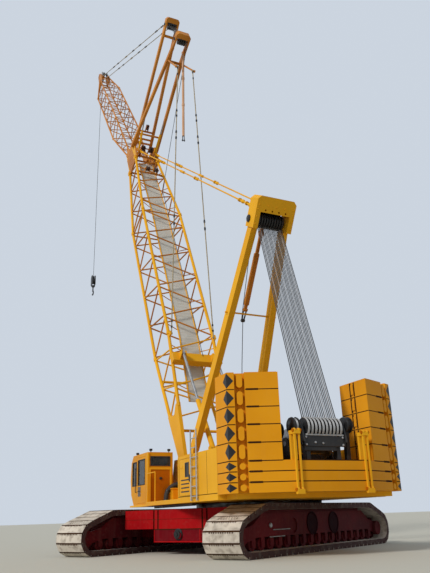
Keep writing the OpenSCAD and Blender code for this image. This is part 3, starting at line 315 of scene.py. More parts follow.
SHOE = caked("caked_shoe_steel", (0.70, 0.63, 0.54), (0.34, 0.29, 0.24), 0.32, 0.54)
# This darker caked steel goes on the shoes' sides and on sheaves, and on the shoes it is also painted shade in the
# grip holes.
DARK_STEEL_AND_HOLE_SHADE = caked("dark_shoe_steel_and_hole_shade", (0.13, 0.10, 0.085), (0.055, 0.022, 0.020), 0.5, 0.72)
STAY = steel("stay_rope", (0.42, 0.34, 0.20), (0.26, 0.21, 0.13), 0.1, (0.5, 0.7), 20)
ROPE = steel("greased_wire_rope", (0.11, 0.11, 0.11), (0.04, 0.04, 0.04), 0.4, (0.45, 0.7), 30)
BRIGHT = steel("worn_bright_steel", (0.42, 0.42, 0.42), (0.25, 0.25, 0.25), 0.8, (0.3, 0.5), 6)
ZINC = steel("galvanised_steel", (0.50, 0.51, 0.52), (0.38, 0.39, 0.40), 0.35, (0.4, 0.6), 14)
print("steels", [m.name for m in (SHOE, DARK_STEEL_AND_HOLE_SHADE, STAY, ROPE, BRIGHT, ZINC)])

# %% [markdown]
# The walkway is expanded metal, glass and rubber close the cab. Cutting thousands of diamonds into the
# walkway would cost far more faces than it shows, so a Voronoi pattern, whose cells are bounded by narrow
# lines, draws its strands in colour and bump. Glass is dark and lets a little light through under a film of
# dust, and rubber is matt with a fine grain.

# %% Grating, glass and rubber
def grating(name):
    """Expanded metal: a fine diamond pattern of strands and gaps."""
    made, tree, links, shader = shader_tree(name)
    cells = tree.new("ShaderNodeTexVoronoi")
    cells.feature = "DISTANCE_TO_EDGE"
    cells.inputs["Scale"].default_value = 1.0
    cells.inputs["Randomness"].default_value = 0.15
    links.new(mapped(tree, links, (34, 12, 12)), cells.inputs["Vector"])
    mesh_gap = ranged(tree, links, cells.outputs["Distance"], 0.05, 0.14)
    strand = mixed(tree, links, cloud(tree, links, 1.2, 4, 0.3, 0.7), (0.70, 0.68, 0.62), (0.58, 0.57, 0.52))
    colour = mixed(tree, links, mesh_gap, strand, (0.54, 0.53, 0.48))
    links.new(colour, shader.inputs["Base Color"])
    shader.inputs["Roughness"].default_value = 0.6
    shader.inputs["Metallic"].default_value = 0.2
    bumped(tree, links, shader, mesh_gap, 0.006, 0.15, sunk=True)
    return made


def tinted_glass(name):
    """Dark window glass with a thin film of dust."""
    made, tree, links, shader = shader_tree(name)
    film = cloud(tree, links, 2.2, 5, 0.4, 0.7)
    links.new(mixed(tree, links, film, (0.012, 0.016, 0.018), (0.05, 0.055, 0.055)), shader.inputs["Base Color"])
    links.new(ranged(tree, links, film, to_low=0.04, to_high=0.16), shader.inputs["Roughness"])
    shader.inputs["Alpha"].default_value = 0.75
    return made


def rubber(name):
    """Black rubber and seat plastic, matt with a fine grain."""
    made, tree, links, shader = shader_tree(name)
    grain = cloud(tree, links, 3, 6, 0.3, 0.7)
    links.new(mixed(tree, links, grain, (0.018, 0.018, 0.02), (0.04, 0.038, 0.036)), shader.inputs["Base Color"])
    shader.inputs["Roughness"].default_value = 0.75
    bumped(tree, links, shader, cloud(tree, links, 120, 3, 0, 1), 0.001, 0.4)
    return made


GRATING = grating("walkway_grating")
GLASS = tinted_glass("tinted_glass")
RUBBER = rubber("black_rubber")
print("other finishes", [m.name for m in (GRATING, GLASS, RUBBER)])

# %% [markdown]
# Each CAD node now gets its finish in place of the plain one that it was loaded with. Nothing is copied or
# replaced: a node's shape is right already, so only its material slot changes.

# %% Finishes of the CAD nodes
FINISH = {
    SHOE: ["track_left", "track_right"],
    MAROON: ["track_frames", "rollers"],
    RED: ["ballast"],
    DEEP_RED: ["carbody"],
    BRIGHT: ["slew_ring", "luff_drum", "hoist_drums", "backstop_rods"],
    STAY: ["strut_stays", "jib_pendants"],
    TAIL: ["tail_plates", "side_stacks"],
    CAB: ["cab_shell", "cab_door"],
    SHADED_YELLOW: ["boom_lattice", "boom_head", "jib_butt", "jib_lattice", "jib_head", "strut_rear", "strut_front"],
    YELLOW: ["main_frame", "deck", "houses", "door_left", "door_right", "tie_straps", "a_frame", "a_head",
             "main_pendants", "boom_foot", "backstop_tubes"],
    BLACK: ["engine", "rope_block", "tip_sheave", "hook_block", "hook"],
    ZINC: ["access"],
    ROPE: ["luff_ropes", "hoist_rope"],
    GRATING: ["boom_walkway"],
    GLASS: ["cab_glass"],
    RUBBER: ["cab_seat"],
}
for finish, names in FINISH.items():
    for node in names:
        nodes[node].data.materials.clear()
        nodes[node].data.materials.append(finish)
print("undressed nodes:", sorted(set(nodes) - {n for names in FINISH.values() for n in names}))

# %% [markdown]
# The boom, jib, struts and A-frame lean at their own angles, and the undercarriage stands turned under the
# upper works. Placing pieces on them in plain x, y and z would need trigonometry each time. A small helper
# takes a point across, along and over such a part and turns it into the row frame, with the same feet and
# angles as the CAD.

# %% Leaning parts and the turned undercarriage
BOOM_FOOT, BOOM_DEG = (1.8, 2.9), 64.5
A_FOOT, A_DEG = (0.76, 3.0), 120.5
JIB_DEG, FRONT_DEG, REAR_DEG = 53.7, 134.4, 153.4
TRACK_DEG = -62.6
JIB_REACH, FRONT_REACH, REAR_REACH = 17.0, 7.2, 6.78


def leaning(foot, degrees):
    """A function that places (across, along, over) of a part that leans by an angle at a foot (y, z)."""
    c, s = math.cos(math.radians(degrees)), math.sin(math.radians(degrees))
    return lambda x, l, h: Vector((x, foot[0] + l * c - h * s, foot[1] + l * s + h * c))


def back_to(foot, degrees):
    """The reverse: (across, along, over) of a point in the row frame."""
    c, s = math.cos(math.radians(degrees)), math.sin(math.radians(degrees))
    return lambda p: (p[0], (p[1] - foot[0]) * c + (p[2] - foot[1]) * s,
                      (p[2] - foot[1]) * c - (p[1] - foot[0]) * s)


def under(x, u, z):
    """A point of the undercarriage, given across its tracks, along them and up."""
    return Matrix.Rotation(math.radians(TRACK_DEG), 3, "Z") @ Vector((x, u, z))


boom, on_boom = leaning(BOOM_FOOT, BOOM_DEG), back_to(BOOM_FOOT, BOOM_DEG)
a_frame, on_a_frame = leaning(A_FOOT, A_DEG), back_to(A_FOOT, A_DEG)
jib_pin, front_pin, rear_pin = boom(0, 21.26, -0.44), boom(0, 21.2, 0.32), boom(0, 20.8, 0.67)
jib = leaning(jib_pin.yz, JIB_DEG)
front_strut, on_front = leaning(front_pin.yz, FRONT_DEG), back_to(front_pin.yz, FRONT_DEG)
rear_strut, on_rear = leaning(rear_pin.yz, REAR_DEG), back_to(rear_pin.yz, REAR_DEG)
across_track, along_track = under(1, 0, 0), under(0, 1, 0)
print("jib from", [round(c, 2) for c in jib_pin], "to", [round(c, 2) for c in jib(0, JIB_REACH, 0)])

# %% [markdown]
# A few nodes hold pieces in two finishes: yellow chords in lacing whose darker, browner yellow is painted shade,
# black sheaves in a yellow head, dark sides on pale shoes. They could be split in the CAD, but they are one welded
# part. So the faces are told apart by where they are or which way they face, and given the second material slot.

# %% Second finishes
BLOCK_AXIS_Z, SPACING_AT_BLOCK = 3.3, 0.059
TAPER_FROM, TAPER_LONG, CHORD_REACH = 14.3, 5.8, 0.12


def second_finish(node, finish, chosen):
    """Gives the faces that pass a test a second finish."""
    mesh = nodes[node].data
    mesh.materials.append(finish)
    faces = [face for face in mesh.polygons if chosen(face)]
    for face in faces:
        face.material_index = 1
    print(node, "has", len(faces), "faces in", finish.name)


def every_fourth_rope(face):
    """The ropes spread a little towards the block, so their spacing changes with the height."""
    x, _, z = face.center
    spacing = SPACING_AT_BLOCK + 0.0035 * (BLOCK_AXIS_Z - z) / 2.6
    return int(abs(x) / spacing + 0.5) % 4 == 0


def on_chord(face):
    """Whether a face lies on one of the boom's four chords, which run together towards the head."""
    x, l, h = on_boom(face.center)
    share = min(max((l - TAPER_FROM) / TAPER_LONG, 0), 1)
    aside, above = abs(x) - 1.04 + 0.39 * share, abs(h) - 0.905 + 0.33 * share
    return abs(aside) < CHORD_REACH and abs(above) < CHORD_REACH


def in_wheel(view, middle, radius, half_width):
    """A test for faces within a wheel, given the view of its part, its middle there and its size."""
    return lambda face: abs(face.center.x) < half_width and math.dist(view(face.center)[1:], middle) < radius


second_finish("access", YELLOW, lambda face: face.center.y > 0)
second_finish("luff_ropes", BRIGHT, every_fourth_rope)
for node in ("track_left", "track_right"):
    second_finish(node, DARK_STEEL_AND_HOLE_SHADE, lambda face: abs(face.normal.dot(across_track)) > 0.9)
for node in ("boom_lattice", "boom_head"):
    second_finish(node, YELLOW, on_chord)
second_finish("a_head", BLACK, in_wheel(on_a_frame, (8.83, -0.11), 0.275, 0.485))
second_finish("strut_front", BLACK, in_wheel(on_front, (FRONT_REACH, 0), 0.235, 0.2))
second_finish("strut_rear", BLACK, in_wheel(on_rear, (REAR_REACH, 0), 0.235, 0.2))

# %% [markdown]
# Every piece that is added goes through the same three steps. Its place is put into its mesh, so that its
# object stands at the origin like a CAD node's. Pieces of one finish are joined, which keeps the list of
# objects short. Then it gets its finish and the name of the body that it rides on.

# %% Settle, join and finish
SMOOTH_BELOW = math.radians(35)
X, Y, Z = Vector((1, 0, 0)), Vector((0, 1, 0)), Vector((0, 0, 1))


def take(piece):
    """Selects one piece alone and makes it the active one, as a click on it does."""
    clear_pick()
    piece.select_set(True)
    bpy.context.view_layer.objects.active = piece


def settle(piece):
    """Puts a piece's place, turn and size into its mesh."""
    take(piece)
    bpy.ops.object.transform_apply(location=True, rotation=True, scale=True)
    return piece


def joined(pieces, name):
    """Joins finished pieces into one object."""
    take(pieces[0])
    for piece in pieces:
        piece.select_set(True)
    bpy.ops.object.join()
    pieces[0].name = name
    pieces[0].data.name = name
    return settle(pieces[0])


def finished(piece, finish, body, smooth=True):
    """Gives a piece its finish and the body that it rides on."""
    take(piece)
    if smooth:
        bpy.ops.object.shade_smooth_by_angle(angle=SMOOTH_BELOW)
    piece.data.materials.clear()
    piece.data.materials.append(finish)
    if body:
        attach(piece, body)
    print(piece.name, len(piece.data.polygons), "faces on", body or "two bodies")
    return piece


print("steps:", [step.__name__ for step in (take, settle, joined, finished)])

# %% [markdown]
# Black diamonds warn of the swinging tail. They are paint, so they could be drawn in the material, but then
# their edges would blur. Each is a pair of thin flats that meet at the rear outer edge of a plate or block,
# a millimetre proud of it: one half on the side face, one half on the angled face. A flat is made from a
# plane whose corners are moved.

# %% Painted diamonds
HALF_WIDTH = 2.77
TAIL_Y = -6.195
TAIL_FLAT = 1.17
TAIL_TURN = math.radians(22.9)
TAIL_SLOPE = math.tan(TAIL_TURN)
CORNER_Y = TAIL_Y + (HALF_WIDTH - TAIL_FLAT) * TAIL_SLOPE
PLATES_FOOT, PLATE, BLOCKS_FOOT, BLOCK = 1.61, 0.265, 2.405, 0.467
DIAMOND_SIDE, DIAMOND_REAR, PAINT_PROUD = 0.205, 0.175, 0.0015


def flat(corners):
    """A flat with four given corners, made from a plane."""
    clear_pick()
    bpy.ops.mesh.primitive_plane_add(size=1)
    piece = bpy.context.object
    for index, corner in zip((0, 1, 3, 2), corners):
        piece.data.vertices[index].co = corner
    return piece


layers = [(PLATES_FOOT + k * PLATE, PLATE) for k in range(3)]
layers += [(BLOCKS_FOOT + k * BLOCK, BLOCK) for k in range(5)]
diamonds = []
for side in (-1, 1):
    edge = (side * (HALF_WIDTH + PAINT_PROUD), CORNER_Y - PAINT_PROUD)
    fore = (side * (HALF_WIDTH + PAINT_PROUD), CORNER_Y + DIAMOND_SIDE)
    aft = (side * (HALF_WIDTH - DIAMOND_REAR), CORNER_Y - DIAMOND_REAR * TAIL_SLOPE - 2 * PAINT_PROUD)
    for z, height in layers:
        low, mid, high = z + 0.02, z + height / 2 - 0.006, z + height - 0.03
        for far in (fore, aft):
            corners = [Vector((*edge, low)), Vector((*far, mid)), Vector((*edge, high)), Vector((*edge, mid))]
            faces_out = (far is fore) == (side > 0)
            diamonds.append(flat(corners if faces_out else corners[::-1]))
finished(joined(diamonds, "diamond_marks"), BLACK, "upper", smooth=False)

# %% [markdown]
# Wire ropes are drawn as curves, because a rope is a round section carried along a line. Straight taut ropes take two
# points each, and a cylinder would do for them, but the same helper then serves bent ones. The curve is turned into a
# mesh at the end, so that it can ride on a body. The jib's luffing ropes span two bodies, the boom with the rear
# strut and the front strut, so they are left without a body.

# %% Ropes
HOIST_RADIUS, LUFF_RADIUS, LUFF_SPACING = 0.014, 0.012, 0.075


def lines(name, runs, radius, finish, body, sides=3):
    """Several round lines through given points, as one mesh."""
    clear_pick()
    curve = bpy.data.curves.new(name, "CURVE")
    curve.dimensions = "3D"
    curve.bevel_depth = radius
    curve.bevel_resolution = sides
    curve.use_fill_caps = True
    for run in runs:
        spline = curve.splines.new("POLY")
        spline.points.add(len(run) - 1)
        for point, place in zip(spline.points, run):
            point.co = (*place, 1)
    piece = bpy.data.objects.new(name, curve)
    bpy.context.scene.collection.objects.link(piece)
    take(piece)
    bpy.ops.object.convert(target="MESH")
    return finished(bpy.context.object, finish, body)


over_jib = [jib(0, 16.9, 0.43), jib(0, 9.0, 0.75), jib(0, 0.6, 0.62)]
lines("hoist_rope_run", [over_jib], HOIST_RADIUS, ROPE, "jib")
down_boom = [rear_strut(0.25, 6.85, 0.27), boom(0.25, 16.0, 1.1), boom(0.25, 4.5, 1.05)]
lines("boom_rope_runs", [down_boom], HOIST_RADIUS, ROPE, "boom")
front_head, rear_head = (FRONT_REACH, 0.22), (REAR_REACH, -0.22)
reeving = [[front_strut((k - 2.5) * LUFF_SPACING, *front_head), rear_strut((k - 2.5) * LUFF_SPACING, *rear_head)]
           for k in range(6)]
taut = lines("jib_luffing_ropes", reeving, LUFF_RADIUS, ROPE, None)
from_rear, to_front = rear_strut(0, *rear_head), front_strut(0, *front_head)
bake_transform(taut)

# %% [markdown]
# The rigging above the CAD parts is made of bars, tubes and turned fittings, at every angle. Working out the
# place and turn of each would be slow, so each is modelled upright along its own Z, where the operators are
# simple, and then stood between two points. Two small helpers open a piece in edit mode and break its edges.

# %% Standing a piece between two points
def ends(x, y, z):
    """The two ends of a straight piece, where one or more of x, y and z is a pair (from, to)."""
    pairs = [c if isinstance(c, tuple) else (c, c) for c in (x, y, z)]
    return [Vector(point) for point in zip(*pairs)]


def stood(piece, a, b, side=X):
    """Turns a piece that was made along its own Z so that it runs from a to b, its X towards side."""
    z = (b - a).normalized()
    if abs(z.dot(side)) > 0.98:
        side = Y
    x = (side - z * side.dot(z)).normalized()
    piece.matrix_world = Matrix.Translation((a + b) / 2) @ Matrix((x, z.cross(x), z)).transposed().to_4x4()
    return settle(piece)


def open_faces(action="DESELECT"):
    """Opens the active piece in edit mode to pick faces, with none or all of them selected."""
    bpy.ops.object.mode_set(mode="EDIT")
    bpy.ops.mesh.select_mode(type="FACE")
    bpy.ops.mesh.select_all(action=action)


def bevelled(piece, width):
    """Breaks the edges of the active piece by one small chamfer."""
    rim = piece.modifiers.new("edges", "BEVEL")
    rim.width = width
    rim.segments = 1
    bpy.ops.object.modifier_apply(modifier="edges")


print("helpers:", [helper.__name__ for helper in (ends, stood, open_faces, bevelled)])

# %% [markdown]
# A round bar is a cylinder, and a flat bar is a cube, but no steel bar has knife-sharp ends. The cylinder's two
# end faces are found by their number of sides and bevelled in edit mode, and the cube is scaled to its size
# and gets a bevel modifier, so that a thin line of light runs along every edge.

# %% Round and flat bars
def tube(a, b, radius, sides=14, edge=0.2):
    """A round bar with broken end edges."""
    clear_pick()
    bpy.ops.mesh.primitive_cylinder_add(vertices=sides, radius=radius, depth=(b - a).length)
    piece = bpy.context.object
    open_faces()
    bpy.ops.mesh.select_face_by_sides(number=sides)
    bpy.ops.mesh.bevel(offset=radius * edge, segments=1)
    bpy.ops.object.mode_set(mode="OBJECT")
    return stood(piece, a, b)


def beam(a, b, wide, deep, side=X, edge=0.005):
    """A flat bar, wide along side, with bevelled edges."""
    clear_pick()
    bpy.ops.mesh.primitive_cube_add(size=1)
    piece = bpy.context.object
    piece.scale = (wide, deep, (b - a).length)
    settle(piece)
    bevelled(piece, edge)
    return stood(piece, a, b, side)


print("helpers:", [helper.__name__ for helper in (tube, beam)])

# %% [markdown]
# Pins, sockets, sheaves and caps are turned on a lathe. Spinning an outline would do, but its poles have to be
# closed. Here a short cylinder grows ring by ring instead, by extruding and resizing its top face, and it
# stays closed all the time. A bolt head is a chamfered tube with six sides, made once and copied.

# %% Turned fittings and bolts
def turned(a, b, steps, sides=16):
    """A turned piece: rings of (share of the length, radius) between a and b."""
    clear_pick()
    length = (b - a).length
    bpy.ops.mesh.primitive_cylinder_add(vertices=sides, radius=steps[0][1], depth=length)
    piece = bpy.context.object
    open_faces()
    bpy.ops.object.mode_set(mode="OBJECT")
    top = max(piece.data.polygons, key=lambda f: f.center.z)
    for vertex in piece.data.vertices:
        if vertex.co.z > 0:
            vertex.co.z = -length / 2 + steps[1][0] * length
            vertex.co.x *= steps[1][1] / steps[0][1]
            vertex.co.y *= steps[1][1] / steps[0][1]
    top.select = True
    for (low, r0), (high, r1) in zip(steps[1:], steps[2:]):
        bpy.ops.object.mode_set(mode="EDIT")
        bpy.ops.mesh.extrude_region_move(TRANSFORM_OT_translate={"value": (0, 0, (high - low) * length)})
        bpy.ops.transform.resize(value=(r1 / r0, r1 / r0, 1))
        bpy.ops.object.mode_set(mode="OBJECT")
    return stood(piece, a, b)


def copied(piece):
    """A copy of a piece, with its own mesh."""
    twin = piece.copy()
    twin.data = piece.data.copy()
    bpy.context.scene.collection.objects.link(twin)
    return twin


def bolts(places, axis, radius, height):
    """One chamfered bolt head, copied to each place, standing along an axis."""
    axis = axis.normalized()
    first = tube(places[0] - axis * 0.002, places[0] + axis * height, radius, 6, 0.25)
    heads = [first]
    for place in places[1:]:
        heads.append(copied(first))
        heads[-1].location = place - places[0]
    return heads


print("helpers:", [helper.__name__ for helper in (turned, copied, bolts)])

# %% [markdown]
# The cab carries more small parts than any other piece. Its windows sit in black rubber seals. A seal could
# be four bars, but their corners would show. So it starts as one plane of the window's size, is inset to a
# narrow band and loses its middle, and is then given thickness and a small bevel. The sunk rear panel has a
# raised border made the same way, and a post beside it.

# %% Window seals and the rear panel of the cab
CAB_LEFT, CAB_REAR, CAB_FLOOR = -2.56, 1.6, 1.54
CAB_WIDE, CAB_TALL = 0.97, 1.8


def in_cab(x, y, z):
    """A point of the cab, measured from its lower left rear corner."""
    return Vector((CAB_LEFT + x, CAB_REAR + y, CAB_FLOOR + z))


def placed(piece, middle, across, over):
    """Turns a piece that was made in the XY plane so that its X runs across and its Y over."""
    turn = Matrix((across, over, across.cross(over))).transposed().to_4x4()
    piece.matrix_world = Matrix.Translation(middle) @ turn
    return settle(piece)


def ring(middle, across, wide, high, band=0.035, proud=0.014, edge=0.003):
    """A raised upright border round an opening."""
    clear_pick()
    bpy.ops.mesh.primitive_plane_add(size=1)
    piece = bpy.context.object
    piece.scale = (wide + band, high + band, 1)
    settle(piece)
    open_faces("SELECT")
    bpy.ops.mesh.inset(thickness=band)
    bpy.ops.mesh.delete(type="FACE")
    bpy.ops.object.mode_set(mode="OBJECT")
    wall = piece.modifiers.new("wall", "SOLIDIFY")
    wall.thickness = proud
    wall.offset = 1
    bpy.ops.object.modifier_apply(modifier="wall")
    bevelled(piece, edge)
    return placed(piece, middle, across, Z)


seals = [ring(in_cab(CAB_WIDE / 2, 0, 1.485), X, 0.73, 0.31),
         ring(in_cab(CAB_WIDE, 0.75, 1.27), Y, 1.2, 0.74),
         ring(in_cab(0, 1.5, 1.12), -Y, 0.48, 0.84)]
finished(joined(seals, "cab_window_seals"), RUBBER, "upper")
borders = [ring(in_cab(CAB_WIDE / 2, 0, 0.64), X, 0.80, 1.16, 0.07, 0.03, 0.008),
           beam(in_cab(0.02, -0.012, 0.01), in_cab(0.02, -0.012, 1.79), 0.075, 0.04, edge=0.01)]
finished(joined(borders, "cab_rear_border"), YELLOW, "upper")
panel = beam(in_cab(CAB_WIDE / 2, -0.006, 0.10), in_cab(CAB_WIDE / 2, -0.006, 1.18), 0.74, 0.012)
finished(joined([panel], "cab_rear_panel"), AMBER, "upper", smooth=False)

# %% [markdown]
# The lock of the rear panel, four work lamps on the roof and the grab rail are small, but the cab looks empty
# without them. A lamp is a bevelled box whose face is inset and pushed in, so that its lens lies behind a rim
# as a real one does, and a separate thin flat in the rim is the glass.

# %% Lamps, lock and grab rail
LAMP_WIDE, LAMP_DEEP, LAMP_TALL = 0.11, 0.07, 0.08


def lamp(at, facing):
    """A box lamp with a sunk lens, on a short bracket."""
    box = beam(at - facing * LAMP_DEEP / 2, at + facing * LAMP_DEEP / 2, LAMP_WIDE, LAMP_TALL, edge=0.012)
    lens = max(box.data.polygons, key=lambda f: f.center.dot(facing) + f.area).index
    open_faces()
    bpy.ops.object.mode_set(mode="OBJECT")
    box.data.polygons[lens].select = True
    bpy.ops.object.mode_set(mode="EDIT")
    bpy.ops.mesh.inset(thickness=0.012, depth=-0.01)
    bpy.ops.object.mode_set(mode="OBJECT")
    bracket = tube(at - Z * (LAMP_TALL / 2 + 0.05), at - Z * (LAMP_TALL / 2 - 0.01), 0.018, 8)
    return [box, bracket]


def lens_glass(at, facing):
    """The clear lens of a lamp: a flat box that lies just inside its rim."""
    return beam(at + facing * 0.022, at + facing * 0.03, 0.08, 0.05, edge=0.002)


roof = CAB_FLOOR + CAB_TALL + 0.085
lamp_places = [(Vector((x, y, roof)), facing) for y, facing in ((1.66, -Y), (3.2, Y)) for x in (-2.42, -1.72)]
cab_lamps = [part for at, facing in lamp_places for part in lamp(at, facing)]
finished(joined(cab_lamps, "cab_work_lamps"), BLACK, "upper")
finished(joined([lens_glass(at, facing) for at, facing in lamp_places], "cab_lamp_lenses"), GLASS, "upper")
lock_at = in_cab(0.5, -0.012, 0.88)
small = [turned(lock_at, lock_at - Y * 0.03, ((0, 0.05), (0.6, 0.05), (1, 0.03))),
         beam(lock_at - X * 0.06 - Y * 0.02, lock_at + X * 0.06 - Y * 0.02, 0.02, 0.03, Z),
         tube(in_cab(-0.05, 1.26, 0.46), in_cab(-0.05, 1.26, 1.31), 0.014, 10)]
small += [tube(in_cab(-0.05, 1.26, z), in_cab(0.01, 1.26, z), 0.012, 8) for z in (0.46, 1.31)]
finished(joined(small, "cab_lock_and_rail"), BLACK, "upper")

# %% [markdown]
# The cab door carries its own panes, seal and handle. They are made like those of the cab, but as pieces of
# their own, so that they ride on the door and swing out with it.

# %% Panes, seal and handle of the cab door
door_parts = [ring(in_cab(0, 0.69, 1.14), -Y, 0.78, 0.88),
              beam(in_cab(-0.03, 1.06, 0.48), in_cab(-0.03, 0.90, 0.48), 0.02, 0.04, Z, 0.006),
              tube(in_cab(-0.03, 1.05, 0.48), in_cab(0.01, 1.05, 0.48), 0.012, 8)]
finished(joined(door_parts, "cab_door_seal"), RUBBER, "cab_door")
door_panes = [beam(in_cab(0.02, 0.69, 0.70), in_cab(0.02, 0.69, 1.58), 0.008, 0.79, edge=0.002),
              beam(in_cab(-0.002, 0.92, 0.30), in_cab(-0.002, 0.92, 0.64), 0.010, 0.30, edge=0.002)]
finished(joined(door_panes, "cab_door_panes"), GLASS, "cab_door", smooth=False)

# %% [markdown]
# Behind the cab stands the air intake: a black rubber elbow over an amber box. An elbow is a round section
# carried along a bend, so it is a curve with many points and not a bent cylinder, and raised clamps, which
# are turned, go round its ends.

# %% Air intake elbow and its box
INTAKE_Y = 1.42
bend = [Vector((x, INTAKE_Y, z)) for x, z in ((-1.46, 2.19), (-1.56, 2.18), (-1.67, 2.14), (-1.77, 2.07),
                                              (-1.85, 1.98), (-1.90, 1.87), (-1.92, 1.75), (-1.92, 1.63))]
lines("intake_elbow", [bend], 0.085, RUBBER, "upper", sides=6)
clamps = []
for xs, zs, rim, ridge in (((-1.47, -1.53), (2.19, 2.185), 0.098, 0.104), ((-1.92, -1.92), (1.62, 1.68), 0.10, 0.11),
                           ((-1.84, -1.87), (2.0, 1.95), 0.092, 0.096)):
    clamps.append(turned(*ends(xs, INTAKE_Y, zs), ((0, rim), (0.5, ridge), (1, rim)), 20))
finished(joined(clamps, "intake_clamps"), BLACK, "upper")
intake_box = [beam(*ends(-1.62, 1.28, (1.60, 2.04)), 0.30, 0.24, edge=0.02),
              beam(*ends(-1.62, 1.28, (2.02, 2.07)), 0.34, 0.28, edge=0.012)]
finished(joined(intake_box, "intake_box"), CAB, "upper")

# %% [markdown]
# The counterweight is a pile of cast plates, and the gaps between them lie in shade. A line in the material would
# need to know each plate's height, so the shade in each gap is painted as a thin dark strip that follows the outline
# and stops on both sides of the lug recess. Beside the recess it widens to the painted shade of a short pocket for
# the lifting forks.

# %% Painted shade in the gaps and fork pockets of the counterweight
FACE_RUN = (HALF_WIDTH - TAIL_FLAT) / math.cos(TAIL_TURN)
STACK_INNER, STACK_FORE, STACK_AFT = 1.47, -4.81, -6.06
SEAM_DROP = 0.006


def on_face(side, run):
    """A point on the angled rear face, at a run from the outer corner towards the middle."""
    share = run / FACE_RUN
    x = HALF_WIDTH + (TAIL_FLAT - HALF_WIDTH) * share
    return Vector((side * x, CORNER_Y + (TAIL_Y - CORNER_Y) * share, 0))


def strip(a, b, z, away, tall=0.028, proud=PAINT_PROUD):
    """A flat dark strip of painted shade between two points on a face, at a height, a little proud of the face."""
    shift = Z * z - away * (0.005 - proud)
    return beam(a + shift, b + shift, tall, 0.01, Z, 0.002)


seams = [(PLATES_FOOT + k * PLATE, FACE_RUN) for k in (1, 2)] + [(BLOCKS_FOOT + k * BLOCK, 1.405) for k in range(5)]
strips = []
for side in (-1, 1):
    out, slant = X * side, Vector((side * math.sin(TAIL_TURN), -math.cos(TAIL_TURN), 0))
    for foot, far in seams:
        z = foot - SEAM_DROP
        strips.append(strip(*ends(side * HALF_WIDTH, (STACK_FORE, CORNER_Y), 0), z, out))
        strips.append(strip(on_face(side, 0), on_face(side, 0.205), z, slant))
        strips.append(strip(on_face(side, 0.50), on_face(side, far), z, slant))
        # The fork pocket: a taller strip of painted shade.
        strips.append(strip(on_face(side, 0.53), on_face(side, 0.86), z, slant, 0.052, 0.003))
        if foot > BLOCKS_FOOT:
            strips.append(strip(*ends(side * STACK_INNER, (STACK_FORE, STACK_AFT), 0), z, -out))
for k in (1, 2, 3):
    strips.append(strip(*ends((-TAIL_FLAT, TAIL_FLAT), TAIL_Y, 0), PLATES_FOOT + k * PLATE - SEAM_DROP, -Y))
finished(joined(strips, "counterweight_gap_shade"), GAP_SHADE, "upper", smooth=False)

# %% [markdown]
# On the inner face of each stack an upright groove guides a lug like those at the rear. It shows between the stacks
# on the right, so both stacks get it. The shade in the groove is painted as a dark strip, which reads as a groove
# from every side and costs no cut in the block, and a rounded lug stands between two of them.

# %% Guide grooves on the inner faces of the stacks
grooves, lugs = [], []
for side in (-1, 1):
    for k in range(5):
        z = BLOCKS_FOOT + k * BLOCK
        for y, wide in ((-5.32, 0.07), (-5.50, 0.05)):
            groove = ends(side * (STACK_INNER - 0.001), y, (z + 0.02, z + 0.44))
            grooves.append(beam(*groove, wide, 0.012, Y, 0.003))
        lugs.append(beam(*ends(side * (STACK_INNER - 0.012), -5.41, (z + 0.07, z + 0.38)), 0.11, 0.04, Y, 0.018))
finished(joined(grooves, "stack_groove_shade"), GAP_SHADE, "upper", smooth=False)
finished(joined(lugs, "stack_guide_lugs"), TAIL, "upper")

# %% [markdown]
# The tie straps end in round eyes with a pin through them, above and below. A pin is a turned piece with
# a thin head at each end, which is how a clevis pin looks, and one helper makes it for the hanging bar too.

# %% Eyes and pins of the tie straps
STRAP_X, STRAP_ENDS = 1.11, (3.15, 1.66)


def pin(a, b, radius):
    """A round pin from a to b with a flat head at each end."""
    head = radius * 1.5
    return turned(a, b, ((0, head), (0.12, head), (0.12, radius), (0.88, radius), (0.88, head), (1, head)))


eyes, pins = [], []
for side in (-1, 1):
    for x in (side * STRAP_X - 0.065, side * STRAP_X + 0.065):
        eyes += [tube(*ends((x - 0.026, x + 0.026), -6.222, z), 0.06, 20, 0.1) for z in STRAP_ENDS]
    pins += [pin(*ends((side * STRAP_X - 0.13, side * STRAP_X + 0.13), -6.232, z), 0.03) for z in STRAP_ENDS]
finished(joined(eyes, "tie_strap_eyes"), YELLOW, "upper")
finished(joined(pins, "tie_strap_pins"), AMBER, "upper")

# %% [markdown]
# The ropes of the luffing gear lie in the grooves of the lower block and go round behind it. The CAD's ropes
# end at the block, so each wrap is added as an arc of rope. A spooled wheel, turned in one piece, stands at
# each end of the block on a post, and a bolted guard plate covers its back.

# %% Rope wraps, end wheels and guard of the luffing block
def arc(x, y, z, radius, degrees):
    """Points of an arc about an axis that runs across the crane."""
    turns = [math.radians(d) for d in degrees]
    return [Vector((x, y + radius * math.cos(t), z + radius * math.sin(t))) for t in turns]


wraps = [arc((k - 4.5) * 0.118 + off, -5.7, BLOCK_AXIS_Z, 0.282, range(80, 271, 19))
         for k in range(10) for off in (-0.016, 0.016)]
lines("block_rope_wraps", wraps, 0.0145, ZINC, "upper")
spool = ((0, 0.07), (0.06, 0.09), (0.06, 0.22), (0.2, 0.235), (0.2, 0.18), (0.75, 0.18), (0.75, 0.235),
         (0.9, 0.22), (0.9, 0.10), (1, 0.08))
end_wheels = [turned(*ends(xs, y, z), spool, 28) for xs, y, z in (
    ((-0.98, -0.75), -5.72, 3.34), ((0.75, 1.0), -5.72, 3.40), ((-1.32, -1.02), -5.3, 3.24))]
for x, top in ((-0.86, 3.3), (0.88, 3.34)):
    end_wheels.append(beam(*ends(x, (-5.66, -5.70), (2.41, top)), 0.12, 0.16, edge=0.01))
end_wheels.append(beam(*ends(-1.17, (-5.28, -5.3), (2.41, 3.2)), 0.14, 0.2, edge=0.01))
finished(joined(end_wheels, "block_end_wheels"), BLACK, "upper")
